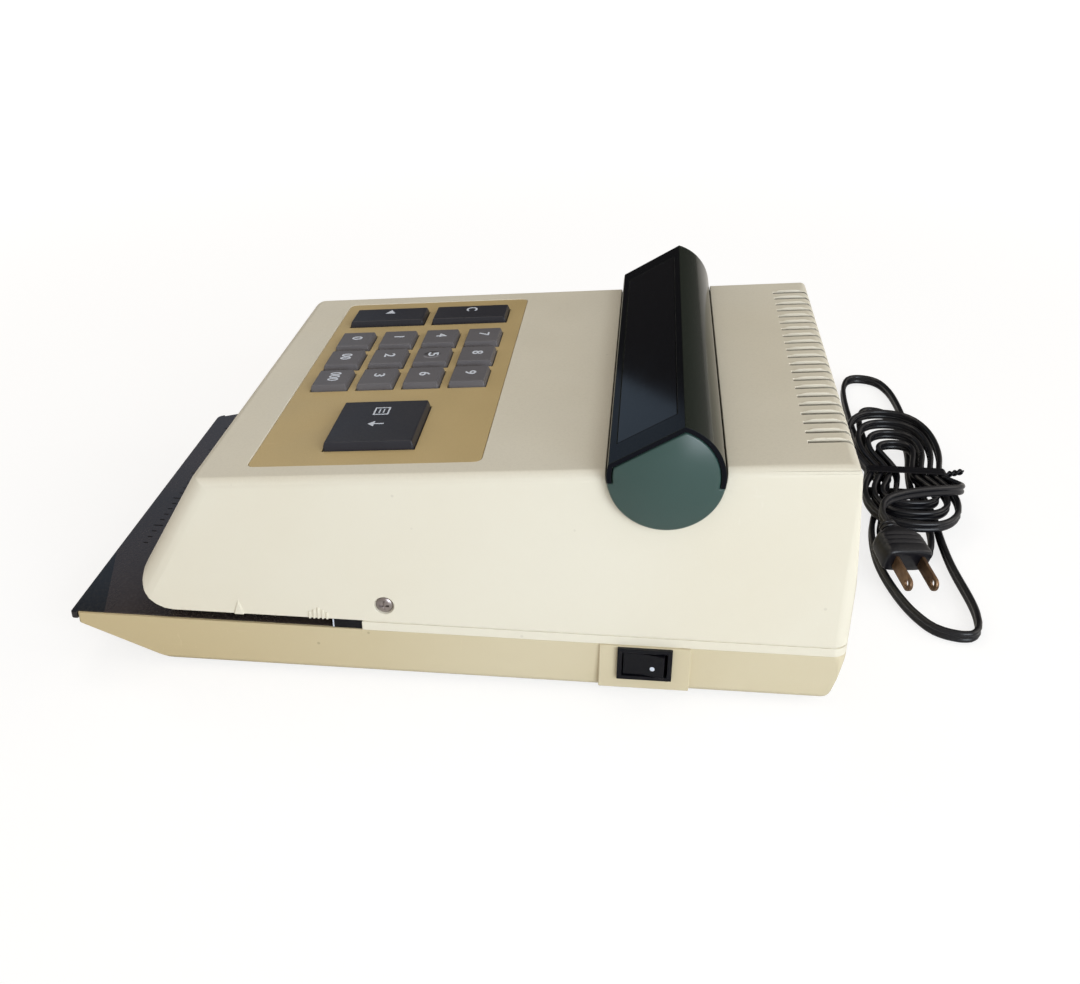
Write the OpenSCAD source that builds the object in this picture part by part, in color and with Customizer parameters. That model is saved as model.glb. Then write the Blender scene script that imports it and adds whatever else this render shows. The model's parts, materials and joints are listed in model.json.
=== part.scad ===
// Electronic check writer: a two-part case on a desk, with a keypad, a tilting display drum,
// a slot for the check, and a printing and feeding mechanism on a steel frame inside.
// X is the width, with the operator's right at +X; the operator sits at -Y; the desk is z = 0.

/* [Case] */
// Width of the case
case_w = 200; // [192:1:212]
// Depth from the edge of the paper table to the rear
total_d = 303; // [298:1:312]
// From the edge of the paper table back to the top front edge of the case
table_reach = 56; // [52:1:58]
// Wall of both case halves
wall = 2.5; // [2:0.1:3]
// Height of the top front edge above the desk
top_front_z = 84.9; // [83:0.1:90]
// Slope of the top, rising to the rear
slope = 4.53; // [3:0.1:6]
// Lean of the front from the vertical
front_lean = 31; // [27:0.5:34]
// Radius of the nose under the front
nose_r = 12; // [9:0.5:14]
// Radius of the edges along the top
edge_r = 4; // [2.5:0.5:5]
// Radius of the leaning front corners
front_corner_r = 8; // [4:0.5:10]
// Height of the lower case, from its floor to the seam
lower_h = 21.1; // [20.6:0.1:23]
// Width of the rim beside the paper table
table_rim = 1.5; // [1:0.1:2.5]

/* [Check slot] */
// Height of the check slot
slot_h = 4.2; // [4.2:0.1:5]
// From the top front edge back to the print line
print_back = 13.2; // [12:0.2:15]
// From the print line back to the end of the slot
slot_end_back = 48.2; // [46:0.2:50]
// Thickness of the paper table
table_t = 1.6; // [1.2:0.1:2]
// How far the lip of the table stands before the lower case
table_lip = 3; // [1.5:0.5:4]
// Depth of the paper stop
stop_d = 11.8; // [6:0.2:14]

/* [Keypad] */
// Width of the keypad panel
panel_w = 177; // [174:1:182]
// Length of the keypad panel along the slope
panel_d = 89; // [87:0.5:94]
// From the top front edge to the panel
panel_back = 18.6; // [16:0.2:20]
// Thickness of the panel
panel_t = 1; // [0.8:0.1:1.1]
// Distance of the key columns
key_pitch_x = 22.5; // [21:0.1:23]
// Distance of the key rows
key_pitch_y = 19.7; // [18.5:0.1:20.5]
// Width of a digit key at the panel
key_w = 18; // [16:0.2:19]
// Length of a digit key at the panel
key_l = 15.8; // [14:0.2:16.5]
// Height of a digit key above the panel
key_h = 2.3; // [2.1:0.1:3]
// Length of the two wide keys
wide_key_l = 35.4; // [33:0.2:36]
// Width of the print key
print_key_w = 39; // [36:0.5:41]
// Height of the print key above the panel
print_key_h = 3; // [2.6:0.1:3.5]
// Travel of the keys
key_travel = 2; // [1.5:0.1:2]
// Gap between a key and its opening
key_gap = 0.35; // [0.25:0.05:0.5]

/* [Display drum] */
// Outer radius of the drum
drum_r = 21; // [19.5:0.25:21.5]
// From the rear forward to the axis of the drum
drum_from_rear = 72.5; // [70:0.5:76]
// Depth of the axis below the top
drum_drop = 0.8; // [0:0.1:2]
// Shell of the drum
drum_t = 1.8; // [1.4:0.1:2.2]
// Distance of the flat window face from the axis
window_off = 14.5; // [13.9:0.1:15.5]
// Direction that the window faces, from the rear over the top
window_dir = 121.5; // [115:0.5:128]
// How far the drum stands out at each side
drum_out = 3.8; // [2.5:0.1:5]
// Running gap round the drum
drum_gap = 0.45; // [0.35:0.05:0.7]

/* [Vents] */
// Number of vent slots
vent_n = 21; // [15:1:23]
// Distance of the vent slots
vent_pitch = 8.1; // [6.5:0.1:8.2]
// Width of a vent slot
vent_w = 2.2; // [1.4:0.1:3]
// Length of the vent slots along the top
vent_l = 16.8; // [12:0.2:20]

/* [Mechanism] */
// Thickness of the side frames
frame_t = 3; // [2.5:0.1:3.5]
// Distance of the side frames, middle to middle
frame_gap = 52; // [50:0.5:54]
// Radius of the type wheel
type_r = 20; // [18:0.25:20.5]
// Width of the type wheel
type_w = 8; // [6:0.5:9]
// Diameter of the type shaft
type_shaft_d = 6; // [5:0.1:6.5]
// Module of the gears
gear_m = 0.8; // [0.7:0.05:0.8]
// Teeth of the type gear
gear_n = 36; // [33:3:36]
// Radius of the ink roller
ink_r = 7; // [6:0.1:7.2]
// Radius of the feed rollers
feed_r = 6.5; // [6:0.1:6.6]
// Width of the feed rollers
feed_w = 9; // [7:0.5:10]
// Radius of the feed motor
feed_motor_r = 10.5; // [9:0.25:10.75]
// Radial clearance of shafts in their bores
fit = 0.05; // [0.02:0.01:0.09]

/* [Power] */
// Width of the bezel of the power switch
switch_w = 21; // [19:0.5:22]
// Height of the bezel of the power switch
switch_h = 14; // [13:0.2:14]
// From the rear to the middle of the power switch
switch_from_rear = 76.2; // [72:0.5:82]
// Tilt of the rocker to either side
rocker_tilt = 8; // [5:0.5:9]
// Height of the oval twin cord on edge
cord_h = 5.4; // [5:0.1:5.6]
// Thickness of the twin cord
cord_t = 2.7; // [2.4:0.1:2.8]

/* [Feet] */
// Height of the rubber feet
foot_h = 2.5; // [1.5:0.1:3]
// Diameter of the rubber feet
foot_d = 14; // [10:0.5:18]

/* [Hidden] */
$fn = 48;

// Places along Y
front_y = -total_d / 2;
rear_y = total_d / 2;
edge_y = front_y + table_reach;
print_y = edge_y + print_back;
slot_end_y = print_y + slot_end_back;
case_front_y = front_y + table_lip;
// Heights
floor_z = foot_h + wall;
seam_z = foot_h + lower_h;
deck_z = seam_z - table_t;
deck_under = deck_z - wall;
slot_top = seam_z + slot_h;
ceiling_z = slot_top + wall;
half_w = case_w / 2;
// The rear leans out a little below the top, and in again under the seam
rear_top_lean = 4.9;
rear_straight_z = 50;
rear_foot_in = 5.6;
belly_slope_d = 36;
lip_h = 4.6;
case_draft = 1.5;

function top_z(y) = top_front_z + tan(slope) * (y - edge_y);
rear_top_y = rear_y - rear_top_lean;

// Keypad
panel_recess = panel_t + 0.2;
guide_under = -wall - 0.5;
flange_t = 1;
board_t = 1.6;
switch_block_h = key_travel;
board_w0 = guide_under - flange_t - key_travel - switch_block_h - 0.5;
first_row = panel_back + 14.5;
key_col_x = -35;
wide_key_x = -65.8;
print_key_x = 57;
// Drum
drum_y = rear_y - drum_from_rear;
drum_z = top_z(drum_y) - drum_drop;
drum_end = half_w + drum_out;
drum_cut = -3;
drum_in = drum_r - drum_t;
pin_r = 4;
bracket_x = half_w - wall - 6.5;
bracket_t = 3;
// Mechanism
chassis_t = 1.5;
chassis_z = floor_z + chassis_t;
frame_in = frame_gap / 2 - frame_t / 2;
frame_out = frame_gap / 2 + frame_t / 2;
wheel_z = slot_top - 0.3 + type_r;
wheel_x = -10;
pinion_n = 12;
mesh_d = gear_m * (gear_n + pinion_n) / 2;
mesh_angle = -5;
motor_y = print_y + mesh_d * cos(mesh_angle);
motor_z = wheel_z + mesh_d * sin(mesh_angle);
motor_r = 12;
motor_l = 14;
gear_x = frame_out + 1.5;
gear_w = 4;
ink_gap = 0.3;
ink_angle = 50;
ink_y = print_y + (type_r + ink_r + ink_gap) * cos(ink_angle);
ink_z = wheel_z + (type_r + ink_r + ink_gap) * sin(ink_angle);
lever_y = slot_end_y + 8;
lever_z = 13.5;
lever_pin_r = 2.5;
solenoid_y = lever_y + 34;
solenoid_z = 20;
solenoid_size = 24;
frame_rear_y = solenoid_y + 14;
feed_x = 44;
feed_y = print_y + 31.4;
feed_gap = 0.3;
feed_z = seam_z + feed_gap - feed_r;
idler_z = feed_z + 2 * feed_r + feed_gap;
feed_motor_y = slot_end_y + 7;
feed_motor_l = 26;
// Power
switch_y = rear_y - switch_from_rear;
switch_z = seam_z - 0.1 - switch_h / 2;
switch_face = half_w + 1;
bezel_t = 1.8;
rocker_x = switch_face - 0.8;
cord_x = -70;
cord_z = 14;
relief_end_y = rear_y + 16;

// Points of a closed outline [a, b, r] with each corner rounded to its radius r
function unit(v) = v / norm(v);
function corner(p, q, s) = let (
    r = q[2], a = unit([p[0] - q[0], p[1] - q[1]]), b = unit([s[0] - q[0], s[1] - q[1]]),
    half = acos(max(-1, min(1, a * b))) / 2, m = unit(a + b),
    o = [q[0], q[1]] + m * r / sin(half), n = max(2, ceil((90 - half) / 9)),
    from = atan2(-m[1], -m[0]), side = sign(a[0] * b[1] - a[1] * b[0]))
    [for (i = [0 : n]) let (t = from + side * (90 - half) * (1 - 2 * i / n))
        o + r * [cos(t), sin(t)]];
function rounded(pts) = let (n = len(pts)) [for (i = [0 : n - 1]) each
    pts[i][2] > 0 ? corner(pts[(i + n - 1) % n], pts[i], pts[(i + 1) % n])
    : [[pts[i][0], pts[i][1]]]];
// The outline moved inward by d, for points that run counterclockwise
function shifted(p, q, d) = let (u = unit([q[0] - p[0], q[1] - p[1]]), n = [-u[1], u[0]] * d)
    [[p[0], p[1]] + n, u];
function meet(f, g) = let (d = f[1][0] * g[1][1] - f[1][1] * g[1][0], w = g[0] - f[0],
    t = (w[0] * g[1][1] - w[1] * g[1][0]) / d) f[0] + f[1] * t;
function inset(pts, d) = let (n = len(pts)) [for (i = [0 : n - 1]) let (
    p = meet(shifted(pts[(i + n - 1) % n], pts[i], d), shifted(pts[i], pts[(i + 1) % n], d)))
    [p[0], p[1], max(0, pts[i][2] - d)]];

// Outlines seen from the side are [y, z, r]
nose_z = slot_top;
nose_y = edge_y - tan(front_lean) * (top_front_z - nose_z);
upper_outline = [[nose_y, nose_z, nose_r], [rear_y, slot_top, 0], [rear_y, rear_straight_z, 40],
    [rear_top_y, top_z(rear_top_y), edge_r], [edge_y, top_front_z, edge_r]];
band_outline = [[slot_end_y, slot_top + 5, 0], [slot_end_y, seam_z, 0], [rear_y, seam_z, 0],
    [rear_y, slot_top + 5, 0]];
upper_void = [[nose_y, nose_z, nose_r], [slot_end_y, slot_top, 0], [slot_end_y, seam_z - 8, 0],
    [rear_y, seam_z - 8, 0], [rear_y, rear_straight_z, 40],
    [rear_top_y, top_z(rear_top_y), edge_r], [edge_y, top_front_z, edge_r]];
lower_outline = [[case_front_y, seam_z, 0], [case_front_y, seam_z - lip_h, 1.5],
    [case_front_y + belly_slope_d, foot_h, 12], [rear_y - rear_foot_in, foot_h, 6],
    [rear_y, seam_z, 0]];

module side_prism(pts, x0, x1) translate([x0, 0, 0]) rotate([90, 0, 90])
    linear_extrude(x1 - x0) polygon(pts);
module box(lo, hi) translate(lo) cube(hi - lo);
module rod_x(x0, x1, y, z, r) translate([x0, y, z]) rotate([0, 90, 0]) cylinder(h = x1 - x0, r = r);
module rod_y(y0, y1, x, z, r) translate([x, y0, z]) rotate([-90, 0, 0]) cylinder(h = y1 - y0, r = r);
module rod_z(z0, z1, x, y, r) translate([x, y, z0]) cylinder(h = z1 - z0, r = r);
module on_top() translate([0, edge_y, top_front_z]) rotate([slope, 0, 0]) children();
module both_sides() {
    children();
    mirror([1, 0, 0]) children();
}

// The space of the upper case, moved in by d, with its rounded edges and corners
module upper_body(outline, d) {
    w = half_w - d;
    far = 2 * total_d;
    intersection() {
        side_prism(rounded(d > 0 ? inset(outline, d) : outline), -half_w, half_w);
        on_top() translate([0, far / 2, 0]) rotate([90, 0, 0]) linear_extrude(far) polygon(rounded([
            [-w, -d, edge_r], [-w, -far, 0], [w, -far, 0], [w, -d, edge_r]]));
        translate([0, edge_y, top_front_z]) rotate([-front_lean, 0, 0]) translate([0, d, -far / 2])
            linear_extrude(far) polygon(rounded([[-w, 0, front_corner_r], [w, 0, front_corner_r],
                [w, far, 0], [-w, far, 0]]));
        linear_extrude(far) polygon(rounded([[-w, -far, 0], [w, -far, 0],
            [w, rear_y - d, 6], [-w, rear_y - d, 6]]));
    }
}

// Plan outline of the lower case and of the paper table, with the cut far front corner
module plan(d, y0) polygon(rounded([
    [-half_w + d, y0 + 27, 4], [-half_w + 15.5 + d, y0, 4], [half_w - d, y0, 1.5],
    [half_w - d, rear_y, 6], [-half_w + d, rear_y, 6]]));
module lower_body(d) intersection() {
    side_prism(rounded(d > 0 ? inset(lower_outline, d) : lower_outline), -half_w, half_w);
    translate([0, total_d, 0]) rotate([90, 0, 0]) linear_extrude(2 * total_d) polygon(rounded([
        [-half_w + case_draft + d, foot_h + d, 3], [half_w - case_draft - d, foot_h + d, 3],
        [half_w - d, seam_z, 0], [half_w - d, seam_z + 20, 0],
        [-half_w + d, seam_z + 20, 0], [-half_w + d, seam_z, 0]]));
    linear_extrude(2 * total_d) plan(d, case_front_y);
}

// Keys: [name, x, distance along the slope, width, length, height]
module digit(col, row, dish = false) key(key_col_x + col * key_pitch_x,
    first_row + row * key_pitch_y, key_w, key_l, key_h, dish);
wide_row = first_row + key_pitch_y / 2;
module key(x, v, w, l, h, dish = false) on_top() translate([x, v, 0]) {
    taper = 0.75;
    difference() {
        union() {
            intersection() {
                translate([0, 0, guide_under - flange_t]) linear_extrude(h - guide_under + flange_t)
                    polygon(rounded([[-w / 2, -l / 2, 1.2], [w / 2, -l / 2, 1.2],
                        [w / 2, l / 2, 1.2], [-w / 2, l / 2, 1.2]]));
                translate([0, l / 2, 0]) rotate([90, 0, 0]) linear_extrude(l) polygon([
                    [-w / 2, guide_under - flange_t], [w / 2, guide_under - flange_t],
                    [w / 2, 0.3], [w / 2 - taper, h], [-w / 2 + taper, h], [-w / 2, 0.3]]);
                translate([-w / 2, 0, 0]) rotate([90, 0, 90]) linear_extrude(w) polygon([
                    [-l / 2, guide_under - flange_t], [l / 2, guide_under - flange_t],
                    [l / 2, 0.3], [l / 2 - taper, h], [-l / 2 + taper, h], [-l / 2, 0.3]]);
            }
            translate([-w / 2 - 1, -l / 2 + 3, guide_under - flange_t]) cube([w + 2, l - 6, flange_t]);
            translate([-3, -3, board_w0 + switch_block_h + 0.2])
                cube([6, 6, guide_under - board_w0 - switch_block_h]);
        }
        if (dish) translate([0, 0, h + 13.6]) sphere(r = 14, $fn = 64);
    }
}
module key_hole(x, v, w, l) translate([x - w / 2 - key_gap, v - l / 2 - key_gap, -wall - 1])
    cube([w + 2 * key_gap, l + 2 * key_gap, wall + 2]);
module key_holes() {
    for (col = [0 : 2], row = [0 : 3])
        key_hole(key_col_x + col * key_pitch_x, first_row + row * key_pitch_y, key_w, key_l);
    for (i = [0, 2]) key_hole(wide_key_x, wide_row + i * key_pitch_y, key_w, wide_key_l);
    key_hole(print_key_x, first_row + 1.5 * key_pitch_y, print_key_w, wide_key_l);
}
panel_post = [panel_w / 2 - 8, 7];

module panel_outline(d, h) linear_extrude(h) polygon(rounded([
    [-panel_w / 2 + d, panel_back + d, 3], [panel_w / 2 - d, panel_back + d, 3],
    [panel_w / 2 - d, panel_back + panel_d - d, 3], [-panel_w / 2 + d, panel_back + panel_d - d, 3]]));

// Case
side_screw_z = seam_z + 11.6;
side_screw_y = slot_end_y + 9.1;
module drum_notch() rod_x(-half_w - 1, half_w + 1, drum_y, drum_z, drum_r + drum_gap, $fn = 96);
module upper_case() color("ivory") {
    difference() {
        upper_body(upper_outline, 0);
        upper_body(upper_void, wall);
        on_top() translate([0, 0, -panel_recess]) panel_outline(0, 5);
        on_top() key_holes();
        drum_notch();
        vent_x = -2.5;
        for (i = [0 : vent_n - 1]) translate([vent_x + (i - (vent_n - 1) / 2) * vent_pitch - vent_w / 2,
            rear_top_y - vent_l, top_z(rear_top_y) - 12]) cube([vent_w, vent_l + 10, 20]);
        for (s = [-1, 1]) {
            rod_x(min(s * (half_w - 1.2), s * half_w * 1.1), max(s * (half_w - 1.2), s * half_w * 1.1),
                side_screw_y, side_screw_z, 3.8);
            rod_x(min(s * half_w * 0.9, s * half_w), max(s * half_w * 0.9, s * half_w),
                side_screw_y, side_screw_z, 1.6);
        }
        box([wheel_x - type_w / 2 - 1, print_y - 14, slot_top - 1],
            [wheel_x + type_w / 2 + 1, print_y + 14, ceiling_z + 1]);
        box([feed_x - feed_r - 1, feed_y - feed_w / 2 - 1, slot_top - 1],
            [feed_x + feed_r + 1, feed_y + feed_w / 2 + 1, ceiling_z + 1]);
        rod_y(feed_y - feed_w / 2 - 7, feed_y + feed_w / 2 + 7, feed_x, idler_z, feed_shaft_r + 0.4);
    }
    on_top() for (s = [-1, 1], v = [panel_post[1], panel_d - panel_post[1]])
        translate([s * panel_post[0], panel_back + v, board_w0]) cylinder(h = -board_w0 - wall + 0.3, r = 2.5);
    // Raised pointer at the print line and ribs at the feed rollers, on the right side
    translate([half_w - 0.2, 0, 0]) {
        side_prism([[print_y - 2, slot_top], [print_y + 2, slot_top], [print_y, slot_top + 6]], 0, 0.9);
        for (i = [-2 : 2]) side_prism([[feed_y + i * 1.7 - 0.45, slot_top - 0.0],
            [feed_y + i * 1.7 + 0.45, slot_top - 0.0], [feed_y + i * 1.7 + 0.45, slot_top + 5 - abs(i)],
            [feed_y + i * 1.7 - 0.45, slot_top + 5 - abs(i)]], 0, 0.9);
    }
}

// Band between the seam and the height of the slot, behind the slot, with a groove along its top
groove = 0.5;
module band_slice(d, top) intersection() {
    upper_body(band_outline, d);
    box([-case_w, slot_end_y, seam_z], [case_w, rear_y, top]);
}
module case_band() color("ivory") difference() {
    union() {
        band_slice(0, slot_top - groove);
        band_slice(groove, slot_top);
    }
    upper_body(upper_void, wall);
}

relief_hole_r = 4.55;
module lower_case() color("burlywood") difference() {
    union() {
        lower_body(0);
        // Upright block round the power switch
        box([half_w - 4, switch_y - 17.4, foot_h + 1.8], [switch_face, switch_y + 17.4, seam_z]);
    }
    // Room for the table, with rims left at its sides
    translate([0, 0, deck_z]) linear_extrude(20) intersection() {
        plan(table_rim, front_y - 20);
        translate([-half_w, front_y - 30]) square([case_w, slot_end_y - front_y + 30]);
    }
    intersection() {
        lower_body(wall);
        union() {
            box([-half_w, front_y, 0], [half_w, slot_end_y + wall, deck_under]);
            box([-half_w, slot_end_y + wall, 0], [half_w, rear_y, seam_z + 1]);
        }
    }
    box([-half_w + wall, slot_end_y + wall, floor_z + 6],
        [half_w - wall, rear_y - wall - rear_foot_in, seam_z + 1]);
    box([half_w - 8, switch_y - switch_w / 2 + 0.9, switch_z - switch_h / 2 + 0.6],
        [switch_face + 1, switch_y + switch_w / 2 - 0.9, switch_z + switch_h / 2 - 0.6]);
    table_windows(deck_z);
    rod_y(rear_y - 20, rear_y + 5, cord_x, cord_z, relief_hole_r);
    for (p = bottom_screws) rod_z(0, floor_z + 1, p[0], p[1], 1.6);
}
bottom_screws = [[-60, slot_end_y + 20], [60, slot_end_y + 20],
    [-60, rear_y - 30], [60, rear_y - 30]];
platen_pad = 8;
module table_windows(z) {
    box([wheel_x - platen_pad / 2 - 1, print_y - platen_pad / 2 - 1.5, z - 10],
        [wheel_x + platen_pad / 2 + 1, print_y + platen_pad / 2 + 1.5, z + 10]);
    box([feed_x - feed_r - 1, feed_y - feed_w / 2 - 1, z - 10],
        [feed_x + feed_r + 1, feed_y + feed_w / 2 + 1, z + 10]);
}

module paper_table() color([0.12, 0.09, 0.09]) difference() {
    union() {
        translate([0, 0, deck_z]) linear_extrude(table_t) intersection() {
            plan(table_rim + 0.2, front_y);
            translate([-half_w, front_y]) square([case_w, slot_end_y - front_y - 0.2]);
        }
        translate([0, 0, seam_z - 2.8]) linear_extrude(2.8) intersection() {
            plan(0.3, front_y);
            translate([-half_w, front_y]) square([case_w, table_lip]);
        }
    }
    table_windows(deck_z);
}

module paper_stop() color([0.1, 0.1, 0.1]) box([-half_w + 2, slot_end_y - stop_d, seam_z],
    [half_w - 0.6, slot_end_y, slot_top]);

module rubber_feet() color([0.15, 0.15, 0.15])
    for (x = [-80, 80], y = [case_front_y + 54, rear_y - 26]) rod_z(0, foot_h, x, y, foot_d / 2);

module case_screws() color("silver") {
    for (s = [-1, 1]) scale([s, 1, 1]) {
        rod_x(half_w - 1.2, half_w - 0.1, side_screw_y, side_screw_z, 3.4);
        rod_x(half_w - wall - 3, half_w - 1.2, side_screw_y, side_screw_z, 1.5);
    }
    for (p = bottom_screws) {
        rod_z(foot_h - 1.4, foot_h, p[0], p[1], 3);
        rod_z(foot_h, chassis_z + 1, p[0], p[1], 1.5);
    }
}

module keypad_panel() color([0.67, 0.6, 0.43]) on_top() difference() {
    translate([0, 0, -panel_recess]) panel_outline(0.15, panel_t);
    key_holes();
}

module keypad_board() color("darkgreen") on_top()
    translate([-panel_w / 2 + 2, panel_back + 2, board_w0 - board_t])
        cube([panel_w - 4, panel_d - 4, board_t]);
module key_switch(x, v) translate([x, v, board_w0]) difference() {
    translate([-6, -6, 0]) cube([12, 12, switch_block_h]);
    translate([-3.5, -3.5, -1]) cube([7, 7, switch_block_h + 2]);
}
module key_switches() color("dimgray") on_top() {
    for (col = [0 : 2], row = [0 : 3])
        key_switch(key_col_x + col * key_pitch_x, first_row + row * key_pitch_y);
    for (i = [0, 2]) key_switch(wide_key_x, wide_row + i * key_pitch_y);
    key_switch(print_key_x, first_row + 1.5 * key_pitch_y);
}

// Display drum. In its own plane, the axis is the origin and [a, b] is [y, z]
module in_drum(x0, x1) translate([x0, drum_y, drum_z]) rotate([90, 0, 90])
    linear_extrude(x1 - x0) children();
module beyond(d) rotate(window_dir) translate([d, -50]) square([50, 100]);
module upper_half() translate([-50, drum_cut]) square([100, 100]);
module drum_shape(r, off) difference() {
    circle(r, $fn = 96);
    beyond(off);
}
window_half = 12.2;
module window_bar(x0, x1, half, inner) in_drum(x0, x1) rotate(window_dir)
    translate([inner, -half]) square([window_off - inner, 2 * half]);
module display_hood() color([0.06, 0.07, 0.06]) difference() {
    union() {
        in_drum(-drum_end, drum_end) intersection() {
            difference() {
                drum_shape(drum_r, window_off);
                drum_shape(drum_in, window_off - drum_t);
            }
            upper_half();
        }
        for (s = [-1, 1]) in_drum(s * (module_half + 1) - 1, s * (module_half + 1) + 1)
            intersection() {
                drum_shape(drum_in + 0.3, window_off - drum_t + 0.3);
                upper_half();
                beyond(board_front);
            }
    }
    window_bar(-bracket_x + 1, bracket_x - 1, window_half, window_off - drum_t - 1);
}
board_front = 4.1;
module_half = bracket_x - 7;
module display_window() color([0.1, 0.1, 0.12])
    window_bar(-bracket_x + 1.2, bracket_x - 1.2, window_half - 0.2, window_off - drum_t + 0.2);
module display_base() color([0.08, 0.08, 0.08]) in_drum(-bracket_x + 3, bracket_x - 3) difference() {
    circle(drum_r, $fn = 96);
    circle(drum_in, $fn = 96);
    upper_half();
}
cap_t = 4.8;
module display_cap() {
    in_drum(drum_end - cap_t, drum_end) intersection() {
        drum_shape(drum_in - 0.2, window_off - drum_t - 0.2);
        translate([-50, drum_cut - 0.01]) square(100);
    }
    in_drum(drum_end - cap_t, drum_end) difference() {
        circle(drum_r, $fn = 96);
        upper_half();
    }
    rod_x(bracket_x - 0.3, drum_end - cap_t + 0.1, drum_y, drum_z, pin_r);
}
module display_module() {
    color("darkgreen") in_drum(-module_half - 1, module_half + 1) rotate(window_dir)
        translate([board_front - board_t, -14]) square([board_t, 28]);
    color("lightcyan") in_drum(-70, 70) rotate(window_dir)
        translate([board_front - 0.4, -10]) square([5.4, 20]);
}
bracket_foot_z = 60;
module display_brackets() color("gainsboro") both_sides() difference() {
    union() {
        box([bracket_x, drum_y - 9, bracket_foot_z], [bracket_x + bracket_t, drum_y + 9, drum_z]);
        rod_x(bracket_x, bracket_x + bracket_t, drum_y, drum_z, 9);
        box([bracket_x, drum_y - 9, bracket_foot_z],
            [half_w - wall, drum_y + 9, drum_z - drum_r - drum_gap - 2]);
    }
    rod_x(bracket_x - 1, bracket_x + bracket_t + 1, drum_y, drum_z, pin_r + fit);
}

// Power switch: the rocker turns about an upright pin
rocker_l = 15.8;
rocker_h = 9.8;
module switch_housing() color([0.08, 0.08, 0.1]) difference() {
    union() {
        box([switch_face, switch_y - switch_w / 2, switch_z - switch_h / 2],
            [switch_face + bezel_t, switch_y + switch_w / 2, switch_z + switch_h / 2]);
        box([switch_face - 20, switch_y - switch_w / 2 + 1, switch_z - switch_h / 2 + 0.7],
            [switch_face, switch_y + switch_w / 2 - 1, switch_z + switch_h / 2 - 0.7]);
    }
    box([switch_face - 6, switch_y - rocker_l / 2 - 0.7, switch_z - rocker_h / 2 - 0.4],
        [switch_face + bezel_t + 1, switch_y + rocker_l / 2 + 0.7, switch_z + rocker_h / 2 + 0.4]);
    rod_z(switch_z - rocker_h / 2 - 1, switch_z + rocker_h / 2 + 1, rocker_x, switch_y, 1 + fit);
}
module switch_rocker() color([0.1, 0.1, 0.12]) translate([rocker_x, switch_y, switch_z])
    rotate([0, 0, -rocker_tilt]) {
        translate([0, 0, -rocker_h / 2]) linear_extrude(rocker_h) polygon([[-2.5, -2.5], [0.4, -rocker_l / 2],
            [2.9, -rocker_l / 2], [2, 0], [2.9, rocker_l / 2], [0.4, rocker_l / 2], [-2.5, 2.5]]);
        translate([0, 0, -rocker_h / 2 - 0.9]) cylinder(h = rocker_h + 1.8, r = 1);
    }

module transformer() {
    x = -52;
    y = rear_y - 57.5;
    color("silver") {
        box([x - 26, y - 10, chassis_z + 1.5], [x + 26, y + 10, chassis_z + 43.5]);
        box([x - 34, y - 10, chassis_z], [x + 34, y + 10, chassis_z + 1.5]);
    }
    color("tan") for (s = [-1, 1]) box([x - 16, min(y + s * 10, y + s * 19), chassis_z + 9],
        [x + 16, max(y + s * 10, y + s * 19), chassis_z + 36]);
}
board_x = [-12, 72];
board_y = [slot_end_y + 72, rear_y - 13];
standoff_z = chassis_z + 7.5;
standoffs = [for (x = [board_x[0] + 5, board_x[1] - 5], y = [board_y[0] + 5, board_y[1] - 5]) [x, y]];
module main_board() {
    color("darkgreen") box([board_x[0], board_y[0], standoff_z],
        [board_x[1], board_y[1], standoff_z + board_t]);
    top = standoff_z + board_t;
    color("navy") for (p = [[6, 20, 10, 30], [34, 18, 7, 20], [52, 20, 5, 14]])
        rod_z(top, top + p[3], board_x[0] + p[0] + 6, board_y[1] - p[1], p[2]);
    color([0.15, 0.15, 0.15]) for (i = [0 : 2])
        box([board_x[0] + 14 + i * 22, board_y[0] + 14, top], [board_x[0] + 28 + i * 22, board_y[0] + 40, top + 4]);
    color("silver") box([board_x[1] - 14, board_y[1] - 40, top], [board_x[1] - 10, board_y[1] - 12, top + 24]);
}

// Frame and chassis
tab_x = half_w - case_draft - wall - 3.2;
module chassis_plate() color("silver") difference() {
    union() {
        box([-half_w + 12, slot_end_y + wall + 1, floor_z], [half_w - 24, rear_y - 12, chassis_z]);
        box([-frame_out - 4, print_y - 22, floor_z], [feed_x + 12, slot_end_y + wall + 2, chassis_z]);
        both_sides() {
            box([half_w - 30, side_screw_y - 6, floor_z], [tab_x, side_screw_y + 6, chassis_z]);
            box([tab_x - chassis_t, side_screw_y - 6, floor_z], [tab_x, side_screw_y + 6, seam_z + 3]);
            box([tab_x - chassis_t, side_screw_y - 6, seam_z + 3 - chassis_t],
                [half_w - wall, side_screw_y + 6, seam_z + 3]);
            box([half_w - wall - chassis_t, side_screw_y - 6, seam_z + 3 - chassis_t],
                [half_w - wall, side_screw_y + 6, side_screw_z + 8]);
        }
        for (p = standoffs) rod_z(chassis_z - 0.5, standoff_z, p[0], p[1], 3);
    }
    for (p = bottom_screws) rod_z(floor_z - 1, chassis_z + 1, p[0], p[1], 1.6);
    rod_x(-half_w, half_w, side_screw_y, side_screw_z, 1.6);
}
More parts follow.
